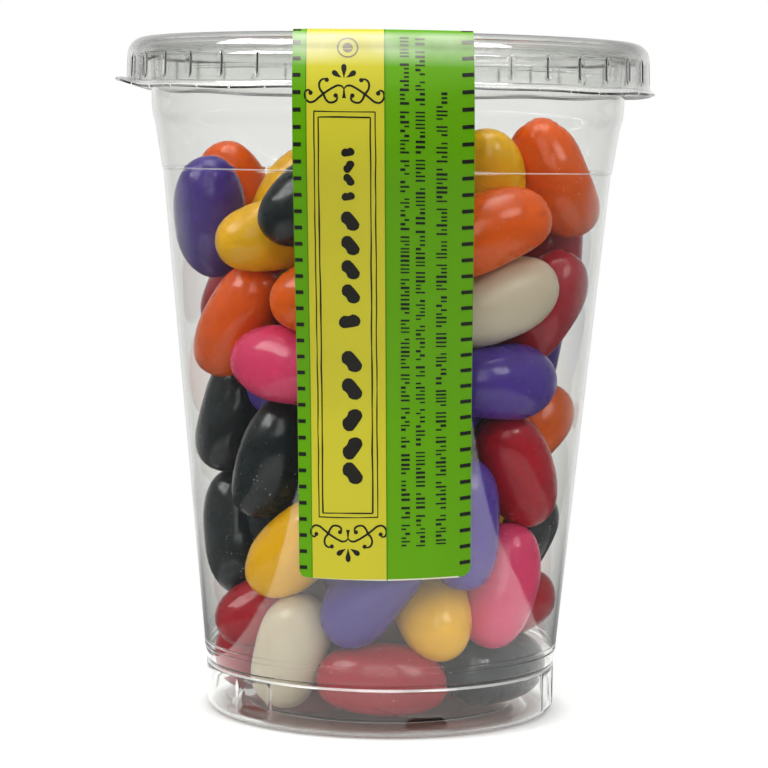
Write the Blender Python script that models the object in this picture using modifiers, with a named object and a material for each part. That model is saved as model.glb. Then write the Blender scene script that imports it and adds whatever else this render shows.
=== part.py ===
"""Clear tapered cup of jelly beans with a press-on lid and a strip label over it.

Metres, +Z up. The cup stands on its foot ring at z = 0 about the Z axis, and the
label hangs down the side that faces -Y.
"""
import math
import random

import bmesh
import bpy
import numpy as np

# Cup
CUP_SIDES = 48
CUP_WALL = 0.0007
TAPER_BASE_Z = 0.012
TAPER_BASE_RADIUS = 0.0348
TAPER = 0.0967
TAPER_TOP_Z = 0.1090
BAND_RADIUS = 0.0453
BAND_TOP_Z = 0.1170
NECK_RADIUS = 0.0462
NECK_TOP_Z = 0.1252
RIM_RADIUS = 0.0465
LIP_Z = 0.12895
LIP_CURL = 0.00105
LIP_CURL_POINTS = 6
LIP_CURL_START = math.radians(-40.0)

# Heel, foot and the six stacking lugs pressed into the heel
HEEL_TOP_Z = 0.0096
HEEL_RADIUS = 0.0345
HEEL_EDGE = 0.0022
HEEL_EDGE_POINTS = 4
FOOT_INNER_RADIUS = 0.0290
FLOOR_RADIUS = 0.0272
FLOOR_Z = 0.0016
LUG_COUNT = 6
LUG_FIRST = math.radians(15.0)
LUG_HALF_WIDTH = math.radians(6.0)
LUG_DEPTH = 0.0006
LUG_BOTTOM_Z = 0.0018

# Lid
LID_SIDES = 40
LID_WALL = 0.0006
LID_TOP_Z = 0.1316
LID_RADIUS = 0.0510
LID_EDGE = 0.0033
LID_EDGE_POINTS = 4
SKIRT_FLARE = 0.0002
SKIRT_BOTTOM_Z = 0.1218
FLANGE_Z = 0.1210
FLANGE_REACH = 0.0011
TAB_ANGLE = math.radians(-90.0)
TAB_HALF_WIDTH = math.radians(34.0)
TAB_LIFT = 0.0022
TAB_REACH = 0.0012
SLIT_COUNT = 40
SLIT_WIDTH = 0.0009
SLIT_DEPTH = 0.00035
SLIT_BOTTOM_Z = 0.1232
SLIT_TOP_Z = 0.1271
SLIT_CUTTER = 0.0012

# Label
LABEL_WIDTH = 0.0330
LABEL_PAPER = 0.0003
LABEL_GAP = 0.0004
LABEL_COLUMNS = 6
LABEL_BACK_END = 0.0440
LABEL_TOP_ROWS = 5
LABEL_EDGE_ROWS = 5
LABEL_HANG_REACH = 0.0534
LABEL_HANG_Z = 0.1215
LABEL_FOLD_Z = 0.1075
LABEL_LANDING_Z = 0.0650
LABEL_END_Z = 0.0307
LABEL_CORNER = 0.0014
LABEL_LEAN = 0.0190
LABEL_LEAN_CENTRE_Z = 0.0730
LABEL_SKEW = 0.0300

# Beans
BEAN_LENGTH = 0.0244
BEAN_WIDTH = 0.0142
BEAN_END = 0.93
BEAN_BEND = 0.0007
BEAN_FULLNESS = 2.35
BEAN_COUNT = 90
BEAN_GAP = 0.0008
BEAN_FLOOR_Z = 0.0027
BEAN_BALLS = (0.0, 1.0 / 3.0, 2.0 / 3.0, 1.0)
BEAN_SIDES = 10
BEAN_RINGS = 6
COLOURS = ("purple", "orange", "yellow", "black", "red", "pink", "white")
SEED = 7

# Beans that show at the front: colour, millimetres to the right of the axis, height,
# degrees of lean to the right, and depth behind the front wall
FRONT_BEANS = (
    ("purple", -36.0, 97.0, -5, 0), ("orange", -30.5, 99.5, -15, 24),
    ("yellow", -19.0, 99.0, 30, 24), ("black", -14.5, 102.0, 50, 2),
    ("yellow", -20.0, 93.5, 68, 0), ("orange", -28.5, 77.5, 40, 0),
    ("orange", -9.0, 83.5, 80, 0), ("red", -23.0, 78.0, 60, 18),
    ("red", -34.0, 82.0, 10, 20), ("pink", -18.5, 69.5, -75, 0),
    ("orange", -33.0, 66.0, 10, 24), ("black", -31.0, 58.0, 25, 0),
    ("black", -21.5, 51.0, 30, 0), ("black", -30.0, 34.0, -8, 0),
    ("yellow", -17.2, 35.0, 40, 1), ("red", -28.5, 14.5, 62, 1),
    ("white", -16.5, 15.0, 18, 0), ("purple", -0.5, 25.5, 50, 1),
    ("yellow", 11.5, 23.5, 10, 1), ("red", 1.5, 10.0, 90, 0),
    ("black", 25.0, 9.4, 86, 0), ("red", 24.5, 20.0, 75, 9),
    ("pink", 22.5, 27.5, 22, 0), ("purple", 15.0, 38.0, 0, 0),
    ("red", 25.5, 49.5, -20, 0), ("purple", 24.0, 66.0, 100, 0),
    ("orange", 32.0, 55.0, 55, 8), ("white", 31.0, 44.0, 0, 24),
    ("red", 31.0, 79.5, 42, 0), ("white", 21.0, 83.0, 62, 0),
    ("orange", 20.5, 94.5, 66, 1), ("red", 32.0, 92.0, 0, 24),
    ("orange", 33.5, 105.0, -52, 0), ("yellow", 20.5, 102.5, 0, 12),
    ("purple", 34.0, 86.0, 40, 26), ("purple", 34.0, 73.0, 10, 15),
    ("black", 26.5, 33.0, 30, 16), ("black", -7.0, 15.0, 70, 24),
    ("black", 14.0, 12.0, 80, 18), ("black", -22.0, 41.0, -10, 11),
    ("red", -22.0, 22.0, 70, 13),
)

# Settling of the beans
SETTLE_ROUNDS = 1100
SETTLE_DROP = 0.0002
SETTLE_STIFFNESS = 1.5
NEIGHBOUR_REACH = 0.021
NEIGHBOUR_ROUNDS = 8
FRONT_WEIGHT = 0.3
FRONT_HOLD = 0.3
FRONT_HOLD_LATE = 0.06
FRONT_HOLD_DEPTH = 0.3

# Core of the heap
CORE_SIDES = 24
CORE_INSET = 0.0095
CORE_BOTTOM_Z = 0.0090
CORE_TOP_Z = 0.0930
CORE_CROWN_Z = 0.0990
SHOW_DEPTH = 0.0035
SHOW_TOP_Z = 0.0960

MILLIMETRE = 0.001
MERGE = 0.00002


def taper_radius(z):
    """Outer radius of the cup's straight taper at height z."""
    return TAPER_BASE_RADIUS + (z - TAPER_BASE_Z) * TAPER


def arc(centre_r, centre_z, radius, start, end, count):
    """Points on an arc in the turning plane, angles counted from +R towards +Z."""
    steps = [start + (end - start) * i / (count - 1) for i in range(count)]
    return [(centre_r + radius * math.cos(a), centre_z + radius * math.sin(a)) for a in steps]


def reset_scene():
    """Removes what the scene holds."""
    for obj in list(bpy.data.objects):
        bpy.data.objects.remove(obj)


def collection(name):
    """A collection of that name linked to the scene."""
    made = bpy.data.collections.new(name)
    bpy.context.scene.collection.children.link(made)
    return made


def material(name, colour, roughness, metallic=0.0):
    """A Principled material."""
    made = bpy.data.materials.new(name)
    made.use_nodes = True
    shader = made.node_tree.nodes["Principled BSDF"]
    shader.inputs["Base Color"].default_value = (*colour, 1.0)
    shader.inputs["Roughness"].default_value = roughness
    shader.inputs["Metallic"].default_value = metallic
    made.diffuse_color = (*colour, 1.0)
    return made


def add_object(name, mesh, home, finish=None):
    """Links a mesh as a named object, with its finish."""
    obj = bpy.data.objects.new(name, mesh)
    home.objects.link(obj)
    if finish is not None:
        mesh.materials.clear()
        mesh.materials.append(finish)
    return obj


def evaluated_copy(obj, name):
    """The object's mesh as its modifiers leave it."""
    depsgraph = bpy.context.evaluated_depsgraph_get()
    depsgraph.update()
    mesh = bpy.data.meshes.new_from_object(obj.evaluated_get(depsgraph))
    mesh.name = name
    return mesh


def turned_mesh(name, profile, sides, home):
    """Turns an open profile about Z with a Screw modifier and returns the mesh."""
    outline = bpy.data.meshes.new(name + "_profile")
    links = [(i, i + 1) for i in range(len(profile) - 1)]
    outline.from_pydata([(r, 0.0, z) for r, z in profile], links, [])
    turning = add_object(name + "_profile", outline, home)
    screw = turning.modifiers.new("turn", "SCREW")
    screw.axis = "Z"
    screw.angle = math.tau
    screw.steps = sides
    screw.render_steps = sides
    screw.use_merge_vertices = True
    screw.merge_threshold = MERGE
    mesh = evaluated_copy(turning, name)
    bpy.data.objects.remove(turning)
    return mesh


def turn_by(mesh, angle):
    """Turns a mesh about Z, so that its facets fall where they are wanted."""
    cosine, sine = math.cos(angle), math.sin(angle)
    for vertex in mesh.vertices:
        x, y, z = vertex.co
        vertex.co = (x * cosine - y * sine, x * sine + y * cosine, z)


def solidify(obj, thickness):
    """Gives an outer skin its wall, inwards."""
    wall = obj.modifiers.new("wall", "SOLIDIFY")
    wall.thickness = thickness
    wall.offset = -1.0
    wall.use_even_offset = True


def smooth(obj):
    """Shades a round piece smooth between its edges."""
    obj.data.shade_smooth()
    obj.data.set_sharp_from_angle(angle=math.radians(40.0))


def from_front(x, y):
    """Angle about the cup from its front, positive to the right."""
    return math.atan2(x, -y)


def angle_apart(a, b):
    """Smallest angle between two directions."""
    return abs((a - b + math.pi) % math.tau - math.pi)


def cup_profile():
    """Outer skin of the cup from the curled lip down to the middle of the floor."""
    lip_r = RIM_RADIUS + LIP_CURL
    profile = arc(lip_r, LIP_Z, LIP_CURL, LIP_CURL_START, math.pi, LIP_CURL_POINTS)
    profile += [
        (NECK_RADIUS + 0.0002, NECK_TOP_Z),
        (NECK_RADIUS, BAND_TOP_Z + 0.0008),
        (BAND_RADIUS + 0.0002, BAND_TOP_Z),
        (BAND_RADIUS - 0.0002, TAPER_TOP_Z + 0.0012),
        (taper_radius(TAPER_TOP_Z), TAPER_TOP_Z),
        (taper_radius(HEEL_TOP_Z) + 0.0002, HEEL_TOP_Z + 0.0004),
        (HEEL_RADIUS, HEEL_TOP_Z - 0.0004),
    ]
    foot_outer = HEEL_RADIUS - HEEL_EDGE
    profile += arc(foot_outer, HEEL_EDGE, HEEL_EDGE, 0.0, -math.pi / 2, HEEL_EDGE_POINTS)
    profile += [(FOOT_INNER_RADIUS, 0.0), (FLOOR_RADIUS, FLOOR_Z), (0.0, FLOOR_Z)]
    return profile


def press_lugs(mesh):
    """Presses the stacking lugs into the heel."""
    for vertex in mesh.vertices:
        x, y, z = vertex.co
        if not LUG_BOTTOM_Z < z < HEEL_TOP_Z:
            continue
        turn = from_front(x, y)
        centres = [LUG_FIRST + math.tau * k / LUG_COUNT for k in range(LUG_COUNT)]
        if min(angle_apart(turn, c) for c in centres) < LUG_HALF_WIDTH:
            keep = 1.0 - LUG_DEPTH / math.hypot(x, y)
            vertex.co = (x * keep, y * keep, z)


def make_cup(home):
    """The clear tapered cup with its curled lip, steps, heel lugs and raised floor."""
    mesh = turned_mesh("cup", cup_profile(), CUP_SIDES, home)
    turn_by(mesh, math.pi / CUP_SIDES)
    press_lugs(mesh)
    cup = add_object("cup", mesh, home, material("cup_clear_plastic", (0.86, 0.88, 0.87), 0.08))
    solidify(cup, CUP_WALL)
    smooth(cup)
    return cup


def lid_profile():
    """Outer skin of the lid from the middle of its top down to the flange."""
    edge_r = LID_RADIUS - LID_EDGE
    profile = [(0.0, LID_TOP_Z)]
    profile += arc(edge_r, LID_TOP_Z - LID_EDGE, LID_EDGE, math.pi / 2, 0.0, LID_EDGE_POINTS)
    profile += [
        (LID_RADIUS + SKIRT_FLARE, SKIRT_BOTTOM_Z),
        (LID_RADIUS + SKIRT_FLARE + FLANGE_REACH, FLANGE_Z),
    ]
    return profile


def shape_flange(mesh):
    """Lifts the skirt's lower edge into the finger tab at the left."""
    for vertex in mesh.vertices:
        x, y, z = vertex.co
        if z > SKIRT_BOTTOM_Z + MERGE:
            continue
        away = angle_apart(from_front(x, y), TAB_ANGLE)
        rise = 0.5 + 0.5 * math.cos(math.pi * min(away / TAB_HALF_WIDTH, 1.0))
        tip = z < FLANGE_Z + MERGE
        grow = 1.0 + (TAB_REACH * rise if tip else 0.0) / math.hypot(x, y)
        vertex.co = (x * grow, y * grow, z + TAB_LIFT * rise)


def make_slit_cutter(name, home):
    """The ring of small blocks that cuts the grip slits into the skirt."""
    facet_r = (LID_RADIUS + SKIRT_FLARE / 2) * math.cos(math.pi / LID_SIDES)
    blocks = bmesh.new()
    for k in range(SLIT_COUNT):
        made = bmesh.ops.create_cube(blocks, size=1.0)["verts"]
        turn = math.tau * k / SLIT_COUNT
        cosine, sine = math.cos(turn), math.sin(turn)
        for vertex in made:
            reach = facet_r - SLIT_DEPTH + (vertex.co.x + 0.5) * SLIT_CUTTER
            across = vertex.co.y * SLIT_WIDTH
            z = SLIT_BOTTOM_Z + (vertex.co.z + 0.5) * (SLIT_TOP_Z - SLIT_BOTTOM_Z)
            vertex.co = (reach * cosine - across * sine, reach * sine + across * cosine, z)
    mesh = bpy.data.meshes.new(name)
    blocks.to_mesh(mesh)
    blocks.free()
    cutter = add_object(name, mesh, home)
    cutter.hide_render = True
    cutter.display_type = "WIRE"
    return cutter


def make_lid(home, cutters):
    """The clear press-on lid with its rounded edge, grip slits, flange and tab."""
    mesh = turned_mesh("lid", lid_profile(), LID_SIDES, home)
    turn_by(mesh, math.pi / LID_SIDES)
    shape_flange(mesh)
    lid = add_object("lid", mesh, home, material("lid_clear_plastic", (0.84, 0.86, 0.85), 0.10))
    solidify(lid, LID_WALL)
    slits = lid.modifiers.new("slits", "BOOLEAN")
    slits.operation = "DIFFERENCE"
    slits.solver = "EXACT"
    slits.object = make_slit_cutter("slit_cutter", cutters)
    smooth(lid)
    return lid


def label_rows():
    """The strip's centre line from its far end on the lid to its lower end.

    Each row is how far it lies in front of the axis, its height, and the radius that
    the row curves to across the strip.
    """
    gap = LABEL_GAP
    edge_r = LID_RADIUS - LID_EDGE
    top_z = LID_TOP_Z + gap
    rows = []
    for i in range(LABEL_TOP_ROWS):
        part = i / LABEL_TOP_ROWS
        forward = -LABEL_BACK_END + part * (LABEL_BACK_END + edge_r)
        rows.append((forward, top_z, edge_r / max(part, 0.01) ** 3))
    bend = arc(edge_r, LID_TOP_Z - LID_EDGE, LID_EDGE + gap, math.pi / 2, 0.0, LABEL_EDGE_ROWS)
    rows += [(r, z, r) for r, z in bend]
    landing = taper_radius(LABEL_LANDING_Z) + gap
    rows += [
        (LABEL_HANG_REACH, LABEL_HANG_Z, LABEL_HANG_REACH),
        (LABEL_HANG_REACH - 0.0002, LABEL_FOLD_Z + 0.0035, LABEL_HANG_REACH),
        (LABEL_HANG_REACH - 0.0009, LABEL_FOLD_Z, LABEL_HANG_REACH - 0.0009),
    ]
    fold = rows[-1][0]
    for part in (0.33, 0.67):
        reach = fold + (landing - fold) * part
        rows.append((reach, LABEL_FOLD_Z + (LABEL_LANDING_Z - LABEL_FOLD_Z) * part, reach))
    for z in (LABEL_LANDING_Z, (LABEL_LANDING_Z + LABEL_END_Z) / 2,
              LABEL_END_Z + LABEL_CORNER, LABEL_END_Z):
        reach = taper_radius(z) + gap
        rows.append((reach, z, reach))
    return rows


def make_label(home):
    """The paper strip: a grid laid over the lid, hung from its edge and stuck down."""
    rows = label_rows()
    strip = bmesh.new()
    bmesh.ops.create_grid(strip, x_segments=LABEL_COLUMNS, y_segments=len(rows) - 1, size=0.5)
    for vertex in strip.verts:
        row = round((0.5 - vertex.co.y) * (len(rows) - 1))
        forward, z, curl = rows[row]
        width = LABEL_WIDTH - (2 * LABEL_CORNER if row == len(rows) - 1 else 0.0)
        across = vertex.co.x * width - LABEL_LEAN * (z - LABEL_LEAN_CENTRE_Z)
        turn = across / curl
        if z < LABEL_LANDING_Z:
            z += LABEL_SKEW * across
        vertex.co = (curl * math.sin(turn), curl * (1.0 - math.cos(turn)) - forward, z)
    bmesh.ops.recalc_face_normals(strip, faces=strip.faces)
    lowest = min(strip.faces, key=lambda face: face.calc_center_median().z)
    if lowest.normal.y > 0.0:
        bmesh.ops.reverse_faces(strip, faces=strip.faces)
    mesh = bpy.data.meshes.new("label")
    strip.to_mesh(mesh)
    strip.free()
    label = add_object("label", mesh, home, material("label_paper", (0.25, 0.55, 0.02), 0.45))
    paper = label.modifiers.new("paper", "SOLIDIFY")
    paper.thickness = LABEL_PAPER
    paper.offset = 1.0
    paper.use_even_offset = True
    return label


def bean_reach(z):
    """Radius that a bean may reach inside the cup at height z."""
    free = taper_radius(z) - CUP_WALL - BEAN_GAP
    return free - np.where(z < HEEL_TOP_Z + LUG_DEPTH, LUG_DEPTH, 0.0)


def draw_beans():
    """Draws every bean before settling: ends of its spine, width, colour, roll, and held or not."""
    draw = random.Random(SEED)
    ends, widths, colours = [], [], []

    def add(centre, axis, width, length, colour):
        half = (length - BEAN_END * width) / 2
        ends.append([[c - half * a for c, a in zip(centre, axis)],
                     [c + half * a for c, a in zip(centre, axis)]])
        widths.append(width)
        colours.append(colour)

    for colour, x, z, lean, depth in FRONT_BEANS:
        x, z, depth = x * MILLIMETRE, z * MILLIMETRE, depth * MILLIMETRE
        width = BEAN_WIDTH * draw.uniform(0.97, 1.03)
        length = BEAN_LENGTH * draw.uniform(0.97, 1.05)
        reach = taper_radius(z) - CUP_WALL - BEAN_GAP - width / 2
        x = max(-reach, min(reach, x))
        turn = math.radians(lean)
        centre = (x, depth - math.sqrt(reach * reach - x * x), z)
        add(centre, (math.sin(turn), 0.0, math.cos(turn)), width, length, colour)
    while len(ends) < BEAN_COUNT:
        z = draw.uniform(0.010, 0.104)
        reach = (taper_radius(z) - 0.009) * math.sqrt(draw.random())
        turn = draw.uniform(-math.pi / 2, 1.5 * math.pi)
        axis = [draw.gauss(0, 1), draw.gauss(0, 1), 0.8 * draw.gauss(0, 1)]
        size = math.sqrt(sum(part * part for part in axis))
        width = BEAN_WIDTH * draw.uniform(0.95, 1.05)
        length = BEAN_LENGTH * draw.uniform(0.94, 1.06)
        x, y = reach * math.sin(turn), -reach * math.cos(turn)
        if y < 0.006 and abs(x) > 0.010:
            continue
        colour = COLOURS[draw.randrange(len(COLOURS))]
        add((x, y, z), [part / size for part in axis], width, length, colour)
    rolls = [draw.uniform(0.0, math.tau) for _ in ends]
    held = np.arange(len(ends)) < len(FRONT_BEANS)
    return np.array(ends), np.array(widths), colours, rolls, held


def settle_beans(ends, widths, held):
    """Lets the beans sink and push each other apart inside the cup.

    Each bean is a row of balls. Beans that show at the front are held by what can be
    seen of them. The places are rounded in each round, so that every run agrees.
    """
    share = np.array(BEAN_BALLS)
    low, high = 1.0 - share, share
    norm = low ** 2 + high ** 2
    swell = [BEAN_END if s in (0.0, 1.0) else 1.0 for s in BEAN_BALLS]
    radius = (np.outer(widths, swell) / 2).ravel()
    owner = np.repeat(np.arange(len(ends)), len(share))
    weight = np.where(held, FRONT_WEIGHT, 1.0)[owner]
    span = np.sqrt(((ends[:, 1] - ends[:, 0]) ** 2).sum(1))[:, None]
    goal = ends.copy()
    for turn in range(SETTLE_ROUNDS):
        drop = max(0.0, 1.0 - turn / (SETTLE_ROUNDS * 0.6))
        ends[~held, :, 2] -= SETTLE_DROP * drop
        balls = (ends[:, 0][:, None] * low[None, :, None]
                 + ends[:, 1][:, None] * high[None, :, None]).reshape(-1, 3)
        if turn % NEIGHBOUR_ROUNDS == 0:
            near = ((balls[:, None] - balls[None]) ** 2).sum(2) < NEIGHBOUR_REACH ** 2
            first, second = np.nonzero(near & (owner[:, None] < owner[None, :]))
        gap = balls[first] - balls[second]
        distance = np.sqrt(gap[:, 0] ** 2 + gap[:, 1] ** 2 + gap[:, 2] ** 2) + 1e-9
        overlap = np.maximum(radius[first] + radius[second] - distance, 0.0)
        push = gap / distance[:, None] * overlap[:, None]
        part = weight[first] / (weight[first] + weight[second])
        count = len(balls)
        touching = (np.bincount(first, overlap > 0, count)
                    + np.bincount(second, overlap > 0, count))
        move = np.stack([np.bincount(first, push[:, k] * part, count)
                         - np.bincount(second, push[:, k] * (1.0 - part), count)
                         for k in range(3)], 1)
        moved = balls + move / np.maximum(touching, 1)[:, None] * SETTLE_STIFFNESS
        out = np.sqrt(moved[:, 0] ** 2 + moved[:, 1] ** 2)
        limit = bean_reach(moved[:, 2]) - radius
        moved[:, :2] *= np.where(out > limit, limit / np.maximum(out, 1e-9), 1.0)[:, None]
        moved[:, 2] = np.maximum(moved[:, 2], BEAN_FLOOR_Z + radius)
        shift = (moved - balls).reshape(len(ends), len(share), 3)
        ends[:, 0] += (shift * (low / norm)[None, :, None]).sum(1) / 2
        ends[:, 1] += (shift * (high / norm)[None, :, None]).sum(1) / 2
        middle = ends.mean(1)
        axis = ends[:, 1] - ends[:, 0]
        axis = axis / np.sqrt((axis ** 2).sum(1))[:, None] * span / 2
        ends = np.stack([middle - axis, middle + axis], 1)
        hold = FRONT_HOLD if turn < SETTLE_ROUNDS * 0.7 else FRONT_HOLD_LATE
        pull = np.array([hold, hold * FRONT_HOLD_DEPTH, hold])
        ends[held] += pull * (goal[held] - ends[held])
        ends = np.round(ends, 7)
    return ends


def bean_shows(ends, width):
    """Whether a bean comes near the wall or the top of the heap."""
    out = np.hypot(ends[:, 0], ends[:, 1]) + width / 2
    by_wall = (out > bean_reach(ends[:, 2]) - SHOW_DEPTH).any()
    return bool(by_wall or ends[:, 2].max() + width / 2 > SHOW_TOP_Z)


def bean_mesh(ends, width, roll):
    """One bean as a ball drawn out along its spine, with a slight kidney bend."""
    centre = ends.mean(0)
    axis = ends[1] - ends[0]
    half = np.sqrt((axis ** 2).sum()) / 2 + BEAN_END * width / 2
    axis = axis / np.sqrt((axis ** 2).sum())
    helper = np.array([1.0, 0.0, 0.0]) if abs(axis[0]) < 0.7 else np.array([0.0, 1.0, 0.0])
    side = np.cross(axis, helper)
    side /= np.sqrt((side ** 2).sum())
    other = np.cross(axis, side)
    bend = math.cos(roll) * side + math.sin(roll) * other
    ball = bmesh.new()
    bmesh.ops.create_uvsphere(ball, u_segments=BEAN_SIDES, v_segments=BEAN_RINGS, radius=1.0)
    for vertex in ball.verts:
        x, y, along = vertex.co
        thin = math.hypot(x, y)
        full = max(0.0, 1.0 - abs(along) ** BEAN_FULLNESS) ** (1.0 / BEAN_FULLNESS)
        grow = full / thin * width / 2 if thin > MERGE else 0.0
        place = centre + along * half * axis + grow * (x * side + y * other)
        vertex.co = place + BEAN_BEND * (0.5 - along * along) * bend
    mesh = bpy.data.meshes.new("bean")
    ball.to_mesh(mesh)
    ball.free()
    return mesh


def core_profile():
    """The plain core that the showing beans are fused to."""
    low_r = taper_radius(CORE_BOTTOM_Z) - CUP_WALL - CORE_INSET
    high_r = taper_radius(CORE_TOP_Z) - CUP_WALL - CORE_INSET
    return [(0.0, CORE_CROWN_Z), (high_r * 0.75, CORE_CROWN_Z - 0.0015), (high_r, CORE_TOP_Z),
            (low_r, CORE_BOTTOM_Z), (0.0, CORE_BOTTOM_Z)]


def keep_largest_shell(mesh):
    """Drops sealed hollows and loose scraps, so that one closed body is left."""
    body = bmesh.new()
    body.from_mesh(mesh)
    unseen = set(body.faces)
    shells = []
    while unseen:
        stack = [unseen.pop()]
        shell = list(stack)
        while stack:
            for edge in stack.pop().edges:
                for face in edge.link_faces:
                    if face in unseen:
                        unseen.remove(face)
                        stack.append(face)
                        shell.append(face)
        shells.append(shell)
    largest = max(shells, key=len)
    scrap = [face for shell in shells if shell is not largest for face in shell]
    bmesh.ops.delete(body, geom=scrap, context="FACES")
    loose = [vertex for vertex in body.verts if not vertex.link_faces]
    bmesh.ops.delete(body, geom=loose, context="VERTS")
    body.to_mesh(mesh)
    body.free()


def make_heap(home, cutters):
    """The heap of jelly beans: a core with every bean that shows fused on."""
    ends, widths, _colours, rolls, held = draw_beans()
    ends = settle_beans(ends, widths, held)
    core = turned_mesh("core", core_profile(), CORE_SIDES, home)
    heap = add_object("jelly_beans", core, home, material("bean_sugar_shell", (0.72, 0.22, 0.07), 0.25))
    loose = bpy.data.collections.new("loose_beans")
    cutters.children.link(loose)
    for place, width, roll in zip(ends, widths, rolls):
        if bean_shows(place, width):
            bean = add_object("bean", bean_mesh(place, width, roll), loose)
            bean.hide_render = True
            bean.display_type = "WIRE"
    union = heap.modifiers.new("fuse", "BOOLEAN")
    union.operation = "UNION"
    union.solver = "MANIFOLD"
    union.operand_type = "COLLECTION"
    union.collection = loose
    fused = evaluated_copy(heap, "jelly_beans")
    heap.modifiers.clear()
    heap.data = fused
    for bean in list(loose.objects):
        bpy.data.objects.remove(bean)
    bpy.data.collections.remove(loose)
    keep_largest_shell(fused)
    smooth(heap)
    return heap


def main():
    """Builds the cup, the lid, the label and the heap of beans."""
    reset_scene()
    home = collection("jelly_bean_cup")
    cutters = collection("cutters")
    make_cup(home)
    make_lid(home, cutters)
    make_label(home)
    make_heap(home, cutters)


main()
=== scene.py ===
"""Looks of a clear tapered cup of jelly beans with a press-on lid and a paper strip label.

Everything is in metres, +Z up. The cup stands on its foot ring at z = 0 about the Z
axis, and the label hangs down the side that faces -Y. Left and right are as seen from
that side.
"""
import logging
import math
import random
from dataclasses import dataclass, field
from enum import Enum
from typing import Callable, Iterable, Sequence

import bpy
import numpy as np
from mathutils import Matrix, Vector


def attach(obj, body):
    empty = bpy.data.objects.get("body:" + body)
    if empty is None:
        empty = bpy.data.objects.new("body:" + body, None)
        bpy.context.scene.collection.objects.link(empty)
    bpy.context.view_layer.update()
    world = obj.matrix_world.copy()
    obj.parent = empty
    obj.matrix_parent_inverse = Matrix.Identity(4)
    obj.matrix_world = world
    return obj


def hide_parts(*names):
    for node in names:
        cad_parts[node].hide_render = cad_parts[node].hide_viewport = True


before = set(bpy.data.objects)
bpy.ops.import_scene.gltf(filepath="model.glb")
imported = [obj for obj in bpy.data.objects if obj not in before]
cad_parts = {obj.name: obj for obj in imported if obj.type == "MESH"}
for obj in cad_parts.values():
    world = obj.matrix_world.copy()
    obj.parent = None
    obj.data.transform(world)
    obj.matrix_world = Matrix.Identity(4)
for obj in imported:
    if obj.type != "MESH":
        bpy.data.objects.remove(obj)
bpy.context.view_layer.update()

logging.basicConfig(level=logging.INFO, format="%(message)s")
log = logging.getLogger("jelly_bean_cup")

Point = tuple[float, float]
Colour = tuple[float, float, float]

MM = 0.001
MERGE = 1e-6
SMOOTH_ALL = 180.0
FRAME_PIXELS = 768


# Bench work: what a modeller does by hand in edit mode


def deselect() -> None:
    """Leaves edit mode and deselects everything."""
    if bpy.context.object and bpy.context.object.mode != "OBJECT":
        bpy.ops.object.mode_set(mode="OBJECT")
    bpy.ops.object.select_all(action="DESELECT")


def take(obj: bpy.types.Object) -> None:
    """Makes one object the only selected and active one.

    Args:
        obj: the object to work on.
    """
    deselect()
    obj.select_set(True)
    bpy.context.view_layer.objects.active = obj


def newest(name: str) -> bpy.types.Object:
    """Names the object that an operator has just added.

    Args:
        name: its name, also given to its mesh.

    Returns:
        The object.
    """
    obj = bpy.context.object
    obj.name = name
    obj.data.name = name
    return obj


def apply_modifiers(obj: bpy.types.Object) -> None:
    """Applies every modifier of an object in turn.

    Args:
        obj: the object.
    """
    take(obj)
    for modifier in list(obj.modifiers):
        bpy.ops.object.modifier_apply(modifier=modifier.name)


def smooth(obj: bpy.types.Object, degrees: float = 40.0) -> None:
    """Shades an object smooth, with edges sharper than an angle kept.

    Args:
        obj: the object.
        degrees: the angle.
    """
    take(obj)
    bpy.ops.object.shade_smooth_by_angle(angle=math.radians(degrees))


def coordinates(obj: bpy.types.Object) -> np.ndarray:
    """Reads an object's points.

    Args:
        obj: the object.

    Returns:
        The points as rows of x, y and z.
    """
    flat = np.empty(len(obj.data.vertices) * 3)
    obj.data.vertices.foreach_get("co", flat)
    return flat.reshape(-1, 3)


def reshape(obj: bpy.types.Object, rule: Callable[[np.ndarray], np.ndarray]) -> None:
    """Moves the points of a mesh by a rule.

    Args:
        obj: the object.
        rule: takes the points as rows of x, y and z, and gives them back moved.
    """
    obj.data.vertices.foreach_set("co", rule(coordinates(obj)).ravel())
    obj.data.update()


def join(pieces: Sequence[bpy.types.Object], name: str) -> bpy.types.Object:
    """Joins objects into one.

    Args:
        pieces: the objects; the first one keeps its finish.
        name: the name of the whole.

    Returns:
        The joined object.
    """
    take(pieces[0])
    for piece in pieces:
        piece.select_set(True)
    if len(pieces) > 1:
        bpy.ops.object.join()
    return newest(name)


def turn_profile(name: str, points: Sequence[Point], steps: int) -> bpy.types.Object:
    """Draws a profile point by point and spins it round the Z axis.

    Args:
        name: the name of the turned piece.
        points: radius and height of each point, down the piece's outer side.
        steps: how many columns the full turn has.

    Returns:
        The turned skin.
    """
    deselect()
    bpy.ops.mesh.primitive_plane_add(size=MM)
    obj = newest(name)
    bpy.ops.object.mode_set(mode="EDIT")
    bpy.ops.mesh.select_all(action="SELECT")
    bpy.ops.mesh.merge(type="CENTER")
    bpy.ops.transform.translate(value=(points[0][0], 0.0, points[0][1]))
    for before, after in zip(points, points[1:]):
        step = (after[0] - before[0], 0.0, after[1] - before[1])
        bpy.ops.mesh.extrude_region_move(TRANSFORM_OT_translate={"value": step})
    bpy.ops.mesh.select_all(action="SELECT")
    bpy.ops.mesh.spin(steps=steps, angle=math.tau, center=(0.0, 0.0, 0.0), axis=(0.0, 0.0, 1.0))
    bpy.ops.mesh.select_all(action="SELECT")
    bpy.ops.mesh.remove_doubles(threshold=MERGE)
    bpy.ops.object.mode_set(mode="OBJECT")
    face_out(obj)
    return obj


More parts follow.
